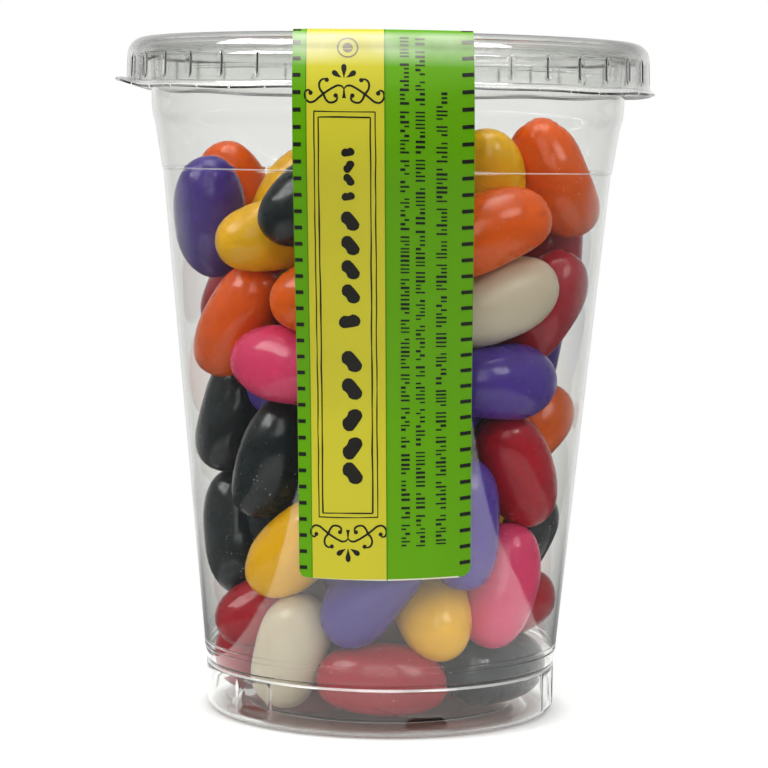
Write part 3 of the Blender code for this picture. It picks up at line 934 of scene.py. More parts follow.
@dataclass
class CupShell:
    """The clear tapered cup with its curled lip, neck, rings, heel, lugs and foot."""

    steps: int = 288
    thickness: float = 0.0007
    lip: Point = (0.04755, 0.12895)
    lip_curl: float = 0.00105
    heel_radius: float = 0.0345
    heel_top_z: float = 0.0096
    heel_edge: float = 0.0022
    foot_inner: float = 0.0290
    floor_radius: float = 0.0272
    floor_z: float = 0.0016
    lug_count: int = 6
    lug_first: float = 15.0
    lug_half_width: float = 6.5
    lug_depth: float = 0.0006
    lug_slope: float = 0.009
    # Heights over which the lugs run in at the foot and out below the heel's ledge
    lug_foot: Point = (0.0016, 0.0030)
    lug_head: Point = (0.0082, 0.0090)
    lug_inner: float = 0.030
    # Heights of the neck's rings and of the lower wall's, and how far each stands out
    neck_rings: tuple[float, ...] = (0.12545, 0.12335, 0.12240)
    neck_ring: Point = (-0.00005, 0.00030)
    low_rings: tuple[float, ...] = (0.01365, 0.01255)
    low_ring: Point = (0.00006, 0.0002)
    index: float = 1.45
    # Painted highlights on the neck's lower step and on the heel's ledge: height and half width of
    # each band
    painted_light_bands: tuple[Point, ...] = ((0.10650, 0.00009), (0.00935, 0.00022))

    def ring(self, radius: float, z: float, height: float, width: float,
             slope: float) -> list[Point]:
        """A small ring moulded round the wall, with a close loop on either side.

        Args:
            radius: the wall's radius there.
            z: the ring's height.
            height: how far it stands out, or in if negative.
            width: half its width.
            slope: how fast the wall widens upwards.

        Returns:
            Its profile from the top down.
        """
        steps = ((1.5, 0.0), (1.0, 0.0), (0.4, 0.8), (0.0, 1.0), (-0.4, 0.8), (-1.0, 0.0),
                 (-1.5, 0.0))
        return [(radius + slope * width * up + height * out, z + width * up) for up, out in steps]

    def profile(self) -> list[Point]:
        """Outer skin from the curled lip down to the middle of the floor.

        Close loops stand beside each small step, so that its shading stays its own.

        Returns:
            Radius and height of each point.
        """
        points = arc(self.lip, self.lip_curl, -55.0, 180.0, 16)
        points += [(0.04650, 0.1281), (0.04648, 0.1270)]
        for z in self.neck_rings:
            points += self.ring(0.04645 - (0.1270 - z) * 0.03, z, *self.neck_ring, 0.03)
        points += [(0.04630, 0.1210), (0.04626, 0.1192), (0.04619, 0.1180), (0.04606, 0.1171)]
        points += [(0.04586, 0.1163), (0.04564, 0.1156), (0.04546, 0.1149), (0.04532, 0.1140)]
        points += [(0.04516, 0.1129), (0.04490, 0.1113), (0.04462, 0.1096), (0.04436, 0.1080)]
        points += [(0.04422, 0.1071), (0.04420, 0.1070), (0.04414, 0.10665), (0.04400, 0.10635),
                   (0.04395, 0.10615), (0.04393, 0.1061)]
        for z in (0.1060, 0.0980, 0.0860, 0.0740, 0.0620, 0.0500, 0.0380, 0.0260, 0.0160):
            points.append((taper_radius(z), z))
        for z in self.low_rings:
            points += self.ring(taper_radius(z), z, *self.low_ring, TAPER)
        heel = self.heel_radius
        points += [(0.03465, 0.0105), (0.03462, 0.0102), (0.03459, 0.0100), (0.03444, 0.0098),
                   (0.03436, 0.0097), (0.03434, 0.0096), (0.03440, 0.00945), (0.03452, 0.0092),
                   (0.03458, 0.0091), (0.03459, 0.0090), (heel, 0.0080), (heel, 0.0060),
                   (heel, 0.0038)]
        centre = (heel - self.heel_edge, self.heel_edge)
        points += arc(centre, self.heel_edge, 0.0, -90.0, 8)
        points += [(0.0306, 0.0), (self.foot_inner + 0.0003, 0.0), (self.foot_inner, 0.0001),
                   (self.foot_inner - 0.0006, 0.0007), (self.floor_radius, self.floor_z - 0.0001),
                   (self.floor_radius - 0.0006, self.floor_z)]
        points += [(radius, self.floor_z) for radius in (0.020, 0.0120, 0.0060, 0.0020, 0.0)]
        return points

    def press_lugs(self, places: np.ndarray) -> np.ndarray:
        """Presses the six stacking lugs into the heel.

        Args:
            places: the skin's points.

        Returns:
            The points with the lugs pressed in.
        """
        turn = from_front(places)
        pressed = np.zeros(len(places))
        half = math.radians(self.lug_half_width)
        for k in range(self.lug_count):
            centre = math.radians(self.lug_first + 360.0 * k / self.lug_count)
            away = angle_apart(turn, centre)
            side = ease(away, half - self.lug_slope, half + self.lug_slope)
            pressed = np.maximum(pressed, 1.0 - side)
        z = places[:, 2]
        out = np.hypot(places[:, 0], places[:, 1])
        zone = ease(z, *self.lug_foot) * (1.0 - ease(z, *self.lug_head)) * (out > self.lug_inner)
        keep = 1.0 - self.lug_depth * pressed * zone / np.maximum(out, 1e-6)
        return places * np.stack([keep, keep, np.ones(len(keep))], 1)

    def build(self) -> None:
        """Turns the skin, presses the lugs, and gives it its wall."""
        cup = turn_profile("cup_shell", self.profile(), self.steps)
        reshape(cup, self.press_lugs)
        wall(cup, self.thickness)
        smooth(cup, 60.0)
        finish = ClearPlastic("cup_clear", index=self.index, painted_light_bands=self.painted_light_bands)
        deliver(cup, finish.make(), ["cup"])


@dataclass
class PressLid:
    """The clear press-on lid with its grip slits, wavy flange and finger tab."""

    slits: int = 40
    columns_per_slit: int = 8
    thickness: float = 0.00045
    top_z: float = 0.1316
    radius: float = 0.0510
    edge: float = 0.0033
    skirt_bottom_z: float = 0.1226
    flange_z: float = 0.1218
    flange_reach: float = 0.0011
    tab_angle: float = -90.0
    tab_half_width: float = 34.0
    tab_lift: float = 0.0022
    tab_reach: float = 0.0012
    slit_low_z: float = 0.1238
    slit_high_z: float = 0.1277
    slit_half_width: float = 0.00024
    slit_depth: float = 0.00028
    slit_ends: float = 0.0002
    skirt_inner: float = 0.049
    gather: float = 0.80
    slit_turn: float = -1.0
    # Height, count and start of the flange's waves
    waves: tuple[tuple[float, float, float], ...] = ((0.00018, 5.0, 0.7), (0.00010, 13.0, 0.0))
    # Painted highlight on the flange's edge, lightening its dark line: its share, its height above
    # the flange and its half width
    painted_light_share: float = 0.20
    painted_band_above: float = 0.0001
    painted_band_half: float = 0.0003

    def profile(self) -> list[Point]:
        """Outer skin from the middle of the top down to the flange's lip.

        Returns:
            Radius and height of each point.
        """
        top = self.top_z
        points = [(0.0, top - 0.0004), (0.006, top - 0.0004), (0.020, top - 0.0004),
                  (0.034, top - 0.0004), (0.0410, top - 0.0004), (0.0420, top - 0.00035),
                  (0.0426, top - 0.0001), (0.0432, top), (0.0452, top)]
        edge = self.radius - self.edge
        points += arc((edge, top - self.edge), self.edge, 90.0, 0.0, 12)
        flare = self.radius + 0.0002
        for z in (0.12800, 0.12775, 0.12750, 0.12700, 0.1262, 0.1252, 0.1244, 0.12405, 0.12380,
                  0.12360, 0.1231):
            points.append((self.radius + 0.0002 * (0.1283 - z) / 0.0065, z))
        points += [(flare, self.skirt_bottom_z), (flare + 0.0002, self.skirt_bottom_z - 0.0003),
                   (flare + 0.0006, self.skirt_bottom_z - 0.0006),
                   (flare + self.flange_reach, self.flange_z)]
        return points

    def shape(self, places: np.ndarray) -> np.ndarray:
        """Gathers the columns at the slits, presses these in and lifts the tab.

        Args:
            places: the turned skin's points.

        Returns:
            The shaped points.
        """
        out = np.hypot(places[:, 0], places[:, 1])
        turn = from_front(places)
        first = math.radians(self.slit_turn)
        turn = turn - self.gather / self.slits * np.sin(self.slits * (turn - first))
        z = places[:, 2].copy()
        pitch = math.tau / self.slits
        across = np.abs((turn - first + pitch / 2) % pitch - pitch / 2) * self.radius
        ends = self.slit_ends
        band = ease(z, self.slit_low_z - ends, self.slit_low_z + ends)
        band *= 1.0 - ease(z, self.slit_high_z - ends, self.slit_high_z + ends)
        half = self.slit_half_width
        pressed = band * (1.0 - ease(across, half * 0.2, half)) * (out > self.skirt_inner)
        out = out - self.slit_depth * pressed
        away = angle_apart(turn, math.radians(self.tab_angle))
        part = np.minimum(away / math.radians(self.tab_half_width), 1.0)
        rise = 0.5 + 0.5 * np.cos(math.pi * part)
        low = 1.0 - ease(z, self.flange_z, self.skirt_bottom_z + 0.0012)
        wave = sum(height * np.sin(count * turn + start) for height, count, start in self.waves)
        z = z + low * (self.tab_lift * rise + wave)
        out = out + low * (self.tab_reach * rise)
        return np.stack([out * np.sin(turn), -out * np.cos(turn), z], 1)

    def build(self) -> None:
        """Turns the skin, shapes it and gives it its wall."""
        lid = turn_profile("press_lid", self.profile(), self.slits * self.columns_per_slit)
        reshape(lid, self.shape)
        wall(lid, self.thickness)
        smooth(lid, 60.0)
        # The flange's edge gets a painted highlight
        painted_light_bands = ((self.flange_z + self.painted_band_above, self.painted_band_half),)
        finish = ClearPlastic("lid_clear", clean=0.05, smeared=0.15, painted_light_bands=painted_light_bands,
                              painted_light_share=self.painted_light_share)
        deliver(lid, finish.make(), ["lid"])


class Ink(Enum):
    """The printed colours of the label, with the tone of each where it is worn."""

    GREEN = ("green", (0.074, 0.232, 0.000), (0.082, 0.246, 0.001))
    YELLOW = ("yellow", (0.395, 0.362, 0.020), (0.368, 0.336, 0.022))
    DARK = ("dark", (0.007, 0.007, 0.005), (0.012, 0.010, 0.008))
    BROWN = ("brown", (0.080, 0.048, 0.026), (0.100, 0.062, 0.034))
    EDGE = ("edge", (0.042, 0.155, 0.000), (0.048, 0.165, 0.001))
    CREAM = ("cream", (0.540, 0.510, 0.380), (0.500, 0.470, 0.340))

    @property
    def paper(self) -> CoatedPaper:
        """The finish of this ink on the paper."""
        return CoatedPaper(*self.value)


# Scrollwork of the label, in millimetres from the middle of its knots: each arm from its
# curled end, with whether the end has a spot, then the drops from their points
SCROLL_ARMS = (
    (((-6.10, -0.15), (-6.35, -0.62), (-6.90, -0.50), (-7.18, 0.20), (-6.95, 1.02), (-6.30, 1.52),
      (-5.50, 1.38), (-4.60, 0.70), (-3.72, 0.0)), True),
    (((-1.50, 0.30), (-1.25, 0.55), (-1.35, 1.10), (-2.00, 1.50), (-2.80, 1.48), (-3.35, 0.90),
      (-3.72, 0.0)), True),
    (((-3.10, -2.45), (-3.60, -2.62), (-4.20, -2.35), (-4.50, -1.65), (-4.35, -0.80),
      (-3.72, 0.0)), True),
    (((0.0, -0.85), (-0.35, -1.32), (-1.05, -1.48), (-1.95, -1.12), (-2.90, -0.55),
      (-3.72, 0.0)), False),
)
SCROLL_SIDE_DROP = ((-0.45, -2.90), (-0.95, -3.18), (-1.55, -3.60), (-1.95, -3.92), (-2.12, -4.05))
SCROLL_MIDDLE_DROP = ((0.0, -2.80), (0.0, -3.60), (0.0, -4.50), (0.0, -5.15), (0.0, -5.42))
DROP_WIDTHS = (0.06, 0.44, 1.00, 0.84, 0.12)


def curve_through(places: np.ndarray, knots: np.ndarray, at: np.ndarray) -> np.ndarray:
    """A smooth curve through places, each piece a cubic with its neighbours' slopes.

    Args:
        places: rows of x and y.
        knots: the parameter at each place, rising.
        at: the parameters to give the curve at.

    Returns:
        Rows of x and y.
    """
    slopes = np.gradient(places, knots, axis=0)
    piece = np.clip(np.searchsorted(knots, at, side="right") - 1, 0, len(knots) - 2)
    span = (knots[piece + 1] - knots[piece])[:, None]
    part = (at - knots[piece])[:, None] / span
    near, far = places[piece], places[piece + 1]
    rise = (1.0 - part) ** 2 * part * span * slopes[piece]
    fall = part ** 2 * (1.0 - part) * span * slopes[piece + 1]
    step = part ** 2 * (3.0 - 2.0 * part)
    return near * (1.0 - step) + far * step + rise - fall


@dataclass
class StripLabel:
    """The paper strip: over the lid's edge, hung clear of the neck and stuck to the wall.

    Places on the flat strip are given as across, from its middle to the right, and
    along, from its lower end upwards.
    """

    width: float = 0.0330
    paper: float = 0.00018
    ink: float = 0.00002
    lid_gap: float = 0.00018
    wall_gap: float = 0.00030
    back_end: float = 0.0440
    top_z: float = 0.1316
    lid_radius: float = 0.0510
    lid_edge: float = 0.0033
    hang_reach: float = 0.0534
    hang_z: float = 0.1215
    fold_z: float = 0.1075
    landing_z: float = 0.0650
    end_z: float = 0.0307
    corner: float = 0.0022
    lean: float = 0.0190
    lean_centre_z: float = 0.0730
    skew: float = 0.030
    # Where along the strip the skew of its lower end runs out, and the least share of the way
    # that it leaves a row, so that no rows fall on each other
    skew_span: Point = (0.020, 0.060)
    least_way: float = 0.3
    columns: int = 24
    rows: int = 520
    # The print, all in millimetres across and along. First the longest side of a field's
    # cells, the longest row of a fine field, the widest column of a stroke and its steps
    ink_cell: float = 1.4
    fine_row: float = 0.38
    stroke_column: float = 0.6
    stroke_steps: int = 4
    # Left and right of the yellow panel and of each of its edges, and how far from the top
    # they end; left, right, low and high of the pale hem
    panel: Point = (-13.9, 0.25)
    panel_edges: tuple[Point, ...] = ((-14.05, -13.85), (0.2, 0.42))
    panel_short: float = 0.2
    hem: tuple[float, float, float, float] = (-14.1, 14.1, 0.0, 0.26)
    # Left, right, low and high of each frame and the width of its line, then how far apart
    # the pen's places are, how much it shakes and how its line's width varies
    frames: tuple[tuple[float, float, float, float, float], ...] = (
        (-12.5, -1.4, 12.1, 88.4, 0.20), (-11.7, -2.3, 12.9, 87.4, 0.27),
    )
    pen_step: float = 4.0
    pen_shake: float = 0.05
    pen_press: Point = (0.7, 1.3)
    # Middle of the scrollwork at each end of the frame, and 1 if it hangs, -1 if it stands
    scrolls: tuple[tuple[float, float, float], ...] = ((-6.95, 9.0, 1.0), (-6.97, 91.5, -1.0))
    # The dot's middle and diameter, and its ring's diameter and line
    dot: Point = (-6.3, 100.0)
    dot_size: float = 1.9
    dot_ring: Point = (3.6, 0.30)
    # Low end, count, pitch and size of each group of printed beans
    bean_groups: tuple[tuple[float, int, float, float], ...] = (
        (17.5, 5, 5.3, 5.2), (47.5, 5, 4.6, 4.6), (72.0, 4, 2.7, 2.8),
    )
    beans_middle: float = -6.4
    # Half length, bow and width of a printed bean as shares of its size, and its leans
    bean_reach: float = 0.42
    bean_bow: float = 0.10
    bean_width: float = 0.56
    bean_leans: tuple[float, ...] = (-38.0, 35.0, 80.0)
    # Share of a printed bean's half length from its middle, and of its width there
    bean_outline: tuple[Point, ...] = (
        (-1.0, 0.0), (-0.9, 0.58), (-0.6, 0.94), (0.0, 0.86), (0.6, 0.94), (0.9, 0.58), (1.0, 0.0),
    )
    # Left, right, low and high of each row of short bars
    bar_rows: tuple[tuple[float, float, float, float], ...] = (
        (3.0, 4.6, 6.5, 103.0), (5.75, 7.45, 6.4, 102.0), (9.5, 11.5, 6.6, 92.1),
    )
    bar_heights: tuple[float, ...] = (0.26, 0.30, 0.34, 0.46)
    bar_gap: Point = (0.36, 0.52)
    bar_cut: float = 0.45
    # How many bars stand close together, and the gap after them
    bar_run: tuple[int, int] = (3, 10)
    run_gap: float = 0.75
    # The ticks up both edges: a left one from side to side, with half its height, and across,
    # along and width at each place of a right one
    tick_count: int = 34
    tick_first: float = 2.4
    tick_pitch: float = 3.08
    tick_left: Point = (-16.45, -14.95)
    tick_half: float = 0.36
    tick_right: tuple[tuple[float, float, float], ...] = (
        (14.25, 0.33, 0.70), (15.4, 0.42, 0.72), (16.45, 0.50, 0.72),
    )
    path: np.ndarray = field(init=False)

    def __post_init__(self) -> None:
        """Lays out the centre line: along, forward, height and the radius of curl.

        The lower part runs smoothly through its knots, by a running mean along the way.
        """
        edge_r = self.lid_radius - self.lid_edge
        rows: list[tuple[float, float, float]] = []
        for part in np.linspace(0.0, 1.0, 24)[:-1]:
            forward = -self.back_end + part * (self.back_end + edge_r)
            rows.append((forward, self.top_z + self.lid_gap, edge_r / max(part, 0.01) ** 3))
        centre = (edge_r, self.top_z - self.lid_edge)
        rows += [(r, z, r) for r, z in arc(centre, self.lid_edge + self.lid_gap, 90.0, 0.0, 12)]
        landing = taper_radius(self.landing_z) + self.wall_gap
        hang = self.hang_reach
        knots = [rows[-1][:2], (0.0526, 0.1252), (hang, self.hang_z), (hang + 0.0001, 0.1180),
                 (hang - 0.0001, 0.1120), (hang - 0.0008, self.fold_z)]
        knots += [(hang - 0.0008 + (landing - hang + 0.0008) * part,
                   self.fold_z + (self.landing_z - self.fold_z) * part)
                  for part in (0.3, 0.6, 0.9)]
        knots += [(taper_radius(z) + self.wall_gap, z)
                  for z in (0.0625, 0.0500, 0.0400, self.end_z)]
        knots = np.array(knots)
        way = np.concatenate([[0.0], np.cumsum(np.hypot(*np.diff(knots, axis=0).T))])
        fine = np.linspace(way[0], way[-1], 400)
        fine_knots = [np.interp(fine, way, knots[:, k]) for k in (0, 1)]
        for spot in np.linspace(0.0, way[-1], 90)[1:]:
            near = np.exp(-((fine - spot) / 0.0016) ** 2)
            if spot > way[-1] - 0.004 or spot < 0.003:
                reach, height = (np.interp(spot, way, knots[:, k]) for k in (0, 1))
            else:
                reach, height = ((values * near).sum() / near.sum() for values in fine_knots)
            rows.append((reach, height, reach))
        line = np.array(rows)
        along = np.concatenate([[0.0], np.cumsum(np.hypot(*np.diff(line[:, :2], axis=0).T))])
        along = along[-1] - along
        self.path = np.column_stack([along, line])[::-1].copy()

    def lay(self, across: np.ndarray, along: np.ndarray, lift: float | np.ndarray) -> np.ndarray:
        """Lays places of the flat strip on its path.

        Args:
            across: places from the middle to the right.
            along: places from the lower end upwards.
            lift: height above the paper's underside.

        Returns:
            The places in space.
        """
        way = self.path[:, 0]
        skewed = along + self.skew * across * (1.0 - ease(along, *self.skew_span))
        skewed = np.maximum(skewed, self.least_way * along)
        forward, z, curl = (np.interp(skewed, way, self.path[:, k]) for k in (1, 2, 3))
        nudge = 0.0004
        ahead = np.interp(skewed + nudge, way, self.path[:, 1])
        behind = np.interp(skewed - nudge, way, self.path[:, 1])
        above = np.interp(skewed + nudge, way, self.path[:, 2])
        below = np.interp(skewed - nudge, way, self.path[:, 2])
        size = np.maximum(np.hypot(ahead - behind, above - below), 1e-9)
        out_forward, out_up = (above - below) / size, -(ahead - behind) / size
        forward = forward + lift * out_forward
        z = z + lift * out_up
        curl = curl + lift * out_forward
        turn = (across - self.lean * (z - self.lean_centre_z)) / curl
        return np.stack([curl * np.sin(turn), curl * (1.0 - np.cos(turn)) - forward, z], 1)

    @property
    def length(self) -> float:
        """The strip's length."""
        return float(self.path[-1, 0])

    def build_paper(self) -> None:
        """Makes the strip as a grid with rounded lower corners and lays it on its path."""
        deselect()
        bpy.ops.mesh.primitive_grid_add(x_subdivisions=self.columns, y_subdivisions=self.rows,
                                        size=1.0)
        strip = newest("label_strip")

        def lay(places: np.ndarray) -> np.ndarray:
            """Rounds the grid's lower corners and lays it.

            Args:
                places: the grid's points.

            Returns:
                The strip's points.
            """
            across = places[:, 0] * self.width
            along = (places[:, 1] + 0.5) * self.length
            short = np.maximum(self.corner - along, 0.0)
            inset = self.corner - np.sqrt(np.maximum(self.corner ** 2 - short ** 2, 0.0))
            across = across * (1.0 - 2.0 * inset / self.width)
            return self.lay(across, along, 0.0)

        reshape(strip, lay)
        wall(strip, self.paper, outwards=True)
        smooth(strip)
        deliver(strip, Ink.GREEN.paper.make(), ["label"])

    def field_of_ink(self, left: float, right: float, low: float, high: float,
                     layer: int = 2, row: float | None = None) -> bpy.types.Object:
        """A printed rectangle, fine enough to follow the strip.

        Args:
            left: its left edge in millimetres across.
            right: its right edge.
            low: its lower edge in millimetres along.
            high: its upper edge.
            layer: how many films of ink lie under its face.
            row: the longest row of its grid in millimetres, if not that of other fields.

        Returns:
            The patch of ink, laid on the strip.
        """
        deselect()
        columns = max(1, math.ceil((right - left) / self.ink_cell))
        rows = max(1, math.ceil((high - low) / (row or self.ink_cell)))
        bpy.ops.mesh.primitive_grid_add(x_subdivisions=columns, y_subdivisions=rows, size=1.0)
        patch = newest("ink")

        def lay(places: np.ndarray) -> np.ndarray:
            """Stretches the grid to the rectangle and lays it.

            Args:
                places: the grid's points.

            Returns:
                The patch's points.
            """
            across = (left + (places[:, 0] + 0.5) * (right - left)) * MM
            along = (low + (places[:, 1] + 0.5) * (high - low)) * MM
            return self.lay(across, along, self.paper + self.ink * layer)

        reshape(patch, lay)
        return patch

    def stroke(self, places: Sequence[Point], widths: Sequence[float],
               layer: int = 2) -> bpy.types.Object:
        """A printed stroke along a smooth line through some places.

        Args:
            places: millimetres across and along, from one end to the other.
            widths: the stroke's width in millimetres at each place.
            layer: how many films of ink lie under its face.

        Returns:
            The stroke, laid on the strip.
        """
        spots = np.array(places)
        knots = np.concatenate([[0.0], np.cumsum(np.hypot(*np.diff(spots, axis=0).T))])
        knots /= knots[-1]
        count = self.stroke_steps * (len(spots) - 1)
        line = curve_through(spots, knots, np.linspace(0.0, 1.0, count + 1))
        wide = np.interp(np.linspace(0.0, 1.0, count + 1), knots, widths)
        ahead = np.gradient(line, axis=0)
        ahead /= np.hypot(*ahead.T)[:, None]
        deselect()
        columns = max(1, math.ceil(max(widths) / self.stroke_column))
        bpy.ops.mesh.primitive_grid_add(x_subdivisions=columns, y_subdivisions=count, size=1.0)
        ribbon = newest("ink")

        def lay(grid: np.ndarray) -> np.ndarray:
            """Draws the grid out along the line and lays it.

            Args:
                grid: the grid's points.

            Returns:
                The stroke's points.
            """
            row = np.rint((grid[:, 1] + 0.5) * count).astype(int)
            aside = grid[:, 0] * wide[row]
            across = (line[row, 0] + aside * ahead[row, 1]) * MM
            along = (line[row, 1] - aside * ahead[row, 0]) * MM
            return self.lay(across, along, self.paper + self.ink * layer)

        reshape(ribbon, lay)
        return ribbon

    def spot(self, across: float, along: float, size: float, layer: int = 2) -> bpy.types.Object:
        """A printed round spot.

        Args:
            across: its middle in millimetres across.
            along: its middle in millimetres along.
            size: its diameter in millimetres.
            layer: how many films of ink lie under its face.

        Returns:
            The spot, laid on the strip.
        """
        turns = np.linspace(0.0, math.pi, 9)
        places = [(across, along - size / 2 * math.cos(t)) for t in turns]
        return self.stroke(places, [size * math.sin(t) for t in turns], layer)

    def scroll(self, middle: float, along: float, up: float) -> list[bpy.types.Object]:
        """The scrollwork at one end of the frame, with its three drops.

        Args:
            middle: its middle in millimetres across.
            along: the height of its two knots in millimetres along.
            up: 1 if the drops hang below it, -1 if they stand above.

        Returns:
            Its strokes and spots.
        """
        pieces = []
        for side in (-1.0, 1.0):
            for arm, ends in SCROLL_ARMS:
                places = [(middle + side * x, along + up * y) for x, y in arm]
                pieces.append(self.stroke(places, [0.20, 0.32] + [0.38] * (len(arm) - 3) + [0.42]))
                if ends:
                    pieces.append(self.spot(*places[0], 0.80))
            places = [(middle + side * x, along + up * y) for x, y in SCROLL_SIDE_DROP]
            pieces.append(self.stroke(places, DROP_WIDTHS))
        drop = [(middle + x, along + up * y) for x, y in SCROLL_MIDDLE_DROP]
        stem = [(middle, along + up * y) for y in (0.75, 0.1, -0.9)]
        pieces += [self.stroke(drop, DROP_WIDTHS), self.stroke(stem, [0.74, 0.44, 0.18])]
        return pieces

    def ring(self, across: float, along: float, size: float, width: float) -> bpy.types.Object:
        """A printed ring.

        Args:
            across: its middle in millimetres across.
            along: its middle in millimetres along.
            size: its diameter in millimetres.
            width: how wide its line is.

        Returns:
            The ring, laid on the strip.
        """
        turns = np.linspace(0.0, math.tau, 13)
        places = [(across + size / 2 * math.sin(t), along + size / 2 * math.cos(t)) for t in turns]
        return self.stroke(places, [width] * len(places))

    def frame_lines(self) -> list[bpy.types.Object]:
        """The double frame round the printed beans, as if drawn with a pen.

        Returns:
            Its strokes.
        """
        pieces = []
        for left, right, low, high, width in self.frames:
            pen = random.Random(int(high * 10))
            for start, end in (((left, low), (left, high)), ((right, low), (right, high)),
                               ((left, low), (right, low)), ((left, high), (right, high))):
                steps = max(3, round(math.dist(start, end) / self.pen_step))
                places = [tuple(start[i] + (end[i] - start[i]) * k / steps
                                + pen.uniform(-self.pen_shake, self.pen_shake) for i in (0, 1))
                          for k in range(steps + 1)]
                widths = [width * pen.uniform(*self.pen_press) for _ in places]
                pieces.append(self.stroke(places, widths))
        return pieces

    def printed_beans(self) -> list[bpy.types.Object]:
        """Beans printed up the middle of the frame, in three groups.

        Returns:
            Their strokes.
        """
        pieces = []
        pen = random.Random(8)
        for low, count, pitch, size in self.bean_groups:
            for k in range(count):
                along = low + pitch * (k + 0.5)
                tip = math.radians(pen.choice(self.bean_leans))
                reach, bow = size * self.bean_reach, size * self.bean_bow
                places = [(self.beans_middle + reach * part * math.sin(tip)
                           + bow * (1.0 - part * part) * math.cos(tip),
                           along + reach * part * math.cos(tip)
                           - bow * (1.0 - part * part) * math.sin(tip))
                          for part, _ in self.bean_outline]
                wide = size * self.bean_width
                pieces.append(self.stroke(places, [wide * part for _, part in self.bean_outline]))
        return pieces

    def short_bars(self) -> list[bpy.types.Object]:
        """Rows of short bars up the green field, with gaps.

        Returns:
            The bars.
        """
        pieces = []
        pen = random.Random(3)
        for left, right, low, high in self.bar_rows:
            along = low
            while along < high:
                for _ in range(pen.randint(*self.bar_run)):
                    thick = pen.choice(self.bar_heights)
                    wide, cut = right - left, self.bar_cut
                    start = left + wide * pen.choice((0.0, 0.0, 0.0, cut))
                    end = right - wide * pen.choice((0.0, 0.0, cut if start == left else 0.0))
                    if along + thick < high:
                        pieces.append(self.field_of_ink(start, end, along, along + thick))
                    along += thick + pen.uniform(*self.bar_gap)
                along += self.run_gap
        return pieces

    def build_print(self) -> None:
        """Prints the yellow panel, its edges, frames, ornaments, ticks and rows of bars."""
        top = self.length / MM - self.panel_short
        fine = self.fine_row
        panel = join([self.field_of_ink(*self.panel, 0.0, top, 1, fine)], "label_panel")
        edges = join([self.field_of_ink(*sides, 0.0, top, 2, fine) for sides in self.panel_edges],
                     "label_panel_edges")
        hem = join([self.field_of_ink(*self.hem)], "label_hem")
        lines = self.frame_lines() + self.printed_beans() + self.short_bars()
        for knots in self.scrolls:
            lines += self.scroll(*knots)
        for k in range(self.tick_count):
            along = self.tick_first + self.tick_pitch * k
            lines.append(self.field_of_ink(*self.tick_left, along - self.tick_half,
                                           along + self.tick_half))
            places = [(across, along + rise) for across, rise, _ in self.tick_right]
            lines.append(self.stroke(places, [width for _, _, width in self.tick_right]))
        mark = join(lines, "label_lines")
        dot = join([self.spot(*self.dot, self.dot_size), self.ring(*self.dot, *self.dot_ring)],
                   "label_dot")
        for piece, ink in ((panel, Ink.YELLOW), (edges, Ink.EDGE), (mark, Ink.DARK),
                           (dot, Ink.BROWN), (hem, Ink.CREAM)):
            piece.data.polygons.foreach_set("use_smooth", [True] * len(piece.data.polygons))
            deliver(piece, ink.paper.make())

    def build(self) -> None:
        """Makes the paper and its print."""
        self.build_paper()
        self.build_print()


